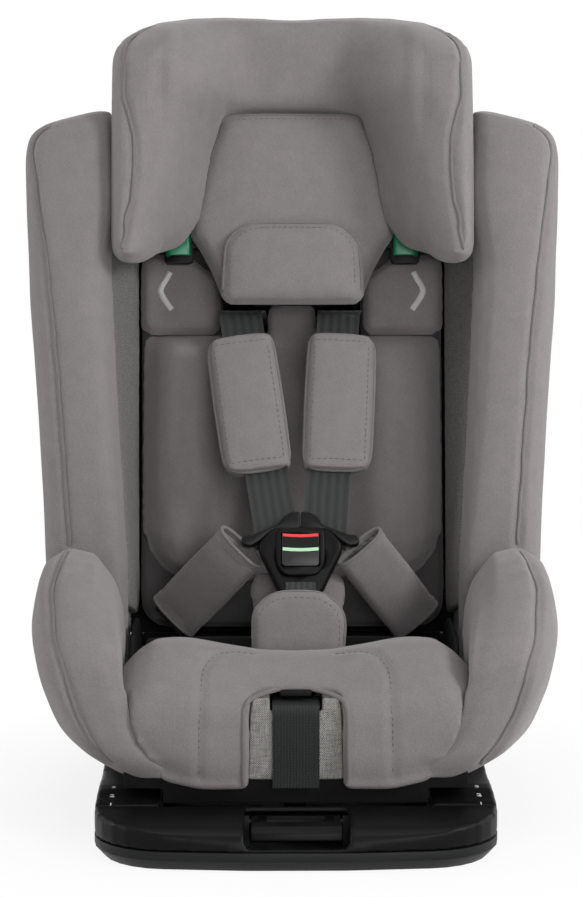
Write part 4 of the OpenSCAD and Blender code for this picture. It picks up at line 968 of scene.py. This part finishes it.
pad_low, pad_high, pad_half = 51, 179, 30.5
for side, k in (("left", -1), ("right", 1)):
    spot = strap_frame(at_buckle(k * 26, 5.3, 28), strap_top(k), (1, 0, 0))
    start = np.array(spot(0, 0, 0))
    across, behind, along = (np.array(spot(*q)) - start for q in ((1, 0, 0), (0, 1, 0), (0, 0, 1)))

    def round_corners(co):
        """Rounds the pad's corners, the outer ones more."""
        x, z = (co * 1000 - start) @ across - k * 4, (co * 1000 - start) @ along - (pad_low + pad_high) / 2
        r = np.where(x * k > 0, 15, 8)
        dx, dz = np.abs(x) - (pad_half + 0.5 - r), np.abs(z) - ((pad_high - pad_low) / 2 - r)
        far = np.hypot(dx, dz)
        back = np.where((dx > 0) & (dz > 0) & (far > r), r / np.maximum(far, 1e-9), 1) - 1
        return co + ((back * dx * np.sign(x))[:, None] * across + (back * dz * np.sign(z))[:, None] * along) / 1000

    pad = stuffed(f"shoulder_pad_{side}", f"chest_pad_{side}", grey_cloth, 0.003, (0, -0.9, 0.4), 0.003, 0.001, 3,
                  shape=round_corners)
    pad.data.materials.append(tweed_dark)
    for face in pad.data.polygons:
        if (np.array(face.center) * 1000 - start) @ behind > 0.5:
            face.material_index = 1
    lo, hi, w = pad_low, pad_high, pad_half
    loop = [(-w, 115), (-w, hi - 12), (-w + 3, hi - 4), (-w + 11, hi), (0, hi), (w - 11, hi), (w - 3, hi - 4),
            (w, hi - 12), (w, 115), (w, lo + 12), (w - 3, lo + 4), (w - 11, lo), (0, lo), (-w + 11, lo),
            (-w + 3, lo + 4), (-w, lo + 12)]
    edge = seam_line(pad, [spot(k * 4 + x, -3, z) for x, z in loop], closed=True)
    cordage(f"chest_pad_piping_{side}", edge, 0.0015, edge_cloth, "headrest", 0.0004, True)
    rows = [seam_line(pad, [spot(k * 4 + x, -14, z) for x in (-24, -12, 0, 12, 24)]) for z in (lo + 7, hi - 7)]
    rows += [seam_line(pad, [spot(k * 4 + x, -14, z) for z in (lo + 8, 90, 140, hi - 8)]) for x in (-26, 26)]
    stitches(f"chest_pad_stitches_{side}", rows, thread, "headrest")
    spot = strap_frame(*hip_line(k))
    stuffed(f"hip_pad_{side}", f"lap_pad_{side}", grey_cloth, 0.003, (0, -0.9, 0.4), 0.003, 0.001, 3)
    for end, z, out in (("near", 10, -1), ("far", 102, 1)):
        bpy.ops.object.select_all(action="DESELECT")
        bpy.ops.mesh.primitive_cylinder_add(vertices=32, radius=1, depth=2, end_fill_type="NOTHING")
        mouth = bpy.context.object
        mouth.name = f"lap_pad_mouth_{end}_{side}"
        co = mesh_points(mouth)
        tube = np.array([spot(squared(x, 23.4), squared(y, 7.6), z + out * (2 + 4 * h)) for x, y, h in co]) / 1000
        put_points(mouth, tube)
        walled(mouth, 0.0024)
        bpy.ops.object.shade_smooth_by_angle(angle=math.radians(50))
        mouth.data.materials.append(grey_cloth)
        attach(mouth, "seat")
        rim = co[:, 2] > 0
        ring = tube[rim][np.argsort(np.arctan2(co[rim, 1], co[rim, 0]))]
        cordage(f"lap_pad_piping_{end}_{side}", (ring, np.zeros_like(ring)), 0.0018, edge_cloth, "seat", 0.0, True)
        bpy.ops.object.select_all(action="DESELECT")
        bpy.ops.mesh.primitive_circle_add(vertices=32, radius=1, fill_type="NGON")
        lining = bpy.context.object
        lining.name = f"lap_pad_lining_{end}_{side}"
        put_points(lining, np.array([spot(squared(x, 22.6), squared(y, 7), z + out * 0.5)
                                     for x, y, h in mesh_points(lining)]) / 1000)
        walled(lining, 0.003)
        lining.data.materials.append(tweed_dark)
        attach(lining, "seat")
leg = stuffed("crotch_pad", "leg_pad", grey_cloth, 0.0035, back_front, 0.004, 0.0015, 9)
leg_tilt, leg_foot = math.radians(14), (4, -36, 122.4)


def on_leg(size, y):
    """The crotch pad's arch, drawn at a size and in front of its middle by y millimetres."""
    arc = both_halves([(39, 8), (40, 26), (39, 42), (33, 52), (20, 58.5), (0, 60)])
    sin, cos = math.sin(leg_tilt), math.cos(leg_tilt)
    return seam_line(leg, [(leg_foot[0] + x * size, leg_foot[1] - y * cos + s * size * sin,
                            leg_foot[2] + y * sin + s * size * cos) for x, s in arc])


stitches("leg_pad_stitches", [on_leg(0.93, 12)], thread, "seat")
cordage("leg_pad_piping", on_leg(1.02, 4), 0.0014, edge_cloth, "seat", 0.0003)

# Buckle: a moulded case with a press button, and two tongues that close into
# an arch above it. The button has a red line, a dark window and a green line.
def plate(name, outline, front, rear, round_by, material, owner, steps=3):
    """A flat moulding in the buckle's own frame: an outline in millimetres, drawn back from front to rear."""
    bpy.ops.object.select_all(action="DESELECT")
    bpy.ops.mesh.primitive_circle_add(vertices=len(outline), radius=1, fill_type="NGON")
    piece = bpy.context.object
    piece.name = name
    put_points(piece, np.array([at_buckle(x, front, z) for x, z in outline]) / 1000)
    away = (Vector(at_buckle(0, rear, 0)) - Vector(at_buckle(0, front, 0))) / 1000
    on_all(bpy.ops.mesh.extrude_region_move, TRANSFORM_OT_translate={"value": tuple(away)})
    on_all(bpy.ops.mesh.normals_make_consistent, inside=False)
    if round_by:
        bevelled(piece, round_by / 1000, steps, 45)
    bpy.ops.object.shade_smooth_by_angle(angle=math.radians(38))
    piece.data.materials.append(material)
    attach(piece, owner)
    return piece


def soften(corners, radius, steps=5):
    """Rounds the corners of an outline."""
    out = []
    n = len(corners)
    for i in range(n):
        p, q, r = (np.array(corners[(i + k) % n], float) for k in (-1, 0, 1))
        a, b = (q + (e - q) * min(0.45, radius / np.linalg.norm(e - q)) for e in (p, r))
        out += [tuple((1 - u) ** 2 * a + 2 * u * (1 - u) * q + u * u * b) for u in np.linspace(0, 1, steps)]
    return out


def cut_window(piece, half, low, high, depth):
    """Opens a window for the button."""
    corners = [(-half, low), (half, low), (half, high), (-half, high)]
    tool = plate("window_tool", corners, -30, depth, 0, black_plastic, "seat")
    only(piece)
    cut = piece.modifiers.new("window", "BOOLEAN")
    cut.operation, cut.solver, cut.object = "DIFFERENCE", "EXACT", tool
    apply_all(piece)
    bpy.data.objects.remove(tool)


half_case = [(18, 24), (27, 20.5), (36.5, 9), (36, 1), (27, -17), (20, -32), (15.5, -37.5)]
case = soften(half_case + [(-x, z) for x, z in half_case[::-1]], 4)
case = plate("buckle_case", case, -10.5, 9, 3.5, black_plastic, "seat", 4)
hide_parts("buckle_body")
hood = soften([(-20.5, 22), (20.5, 22), (21.5, 4), (20.5, -12), (14, -20.5), (-14, -20.5), (-20.5, -12), (-21.5, 4)], 5)
hood = plate("buckle_hood", hood, -13.2, -9, 1.8, black_plastic, "seat", 3)
for piece in (case, hood):
    cut_window(piece, 16.6, -12.6, 16.6, -0.6)
satin_grey = plastic("satin_grey", (0.012, 0.0125, 0.012), (0.02, 0.0205, 0.02), 0.3, 0.42, gloss=0.3)
moulded("buckle_button", "buckle_press", satin_grey, 0.0006)
gloss_black = plastic("gloss_black", (0.003, 0.003, 0.0032), (0.006, 0.006, 0.0062), 0.3, 0.38, gloss=0.14)
line_red = plastic("line_red", (0.72, 0.035, 0.03), (0.85, 0.05, 0.04), 0.3, 0.4)
line_green = plastic("line_green", (0.42, 0.72, 0.46), (0.52, 0.82, 0.56), 0.3, 0.4)
band_half = 15.6
bow = [(x, -0.9 * (1 - (x / band_half) ** 2)) for x in (-band_half, -8, 0, 8, band_half)]
for name, low, high, material in (("button_red_line", 13.9, 16.6, line_red), ("button_window", 4.6, 13.6, gloss_black),
                                  ("button_green_line", 1.4, 4.4, line_green)):
    band = [(x, low + b) for x, b in bow] + [(x, high + b) for x, b in bow[::-1]]
    plate(name, band, -14.5, -13.2, 0.2, material, "buckle_button", 1)
for side, k in (("left", -1), ("right", 1)):
    half = soften([(0.35, 19), (0.35, 37.5), (9, 36.5), (15.5, 31.5), (19.5, 25), (29, 21.5), (40, 17), (51, 15),
                   (51.5, 8), (43, 6), (35, 11), (27, 18.5), (20.5, 22), (18, 19)], 3, 4)
    tongue = plate(f"buckle_tongue_{side}", [(k * x, z) for x, z in half], -9.8, 3, 1.4, gloss_black, "seat", 3)
    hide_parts(f"tongue_{side}")
loop = ribbon("leg_strap_loop", [at_buckle(0, -11.4, -26), at_buckle(0, -11.6, -33), at_buckle(0, -10, -39.5),
                                 at_buckle(0, 0, -41)], width=0.026, step=0.002)
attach(loop, "seat")
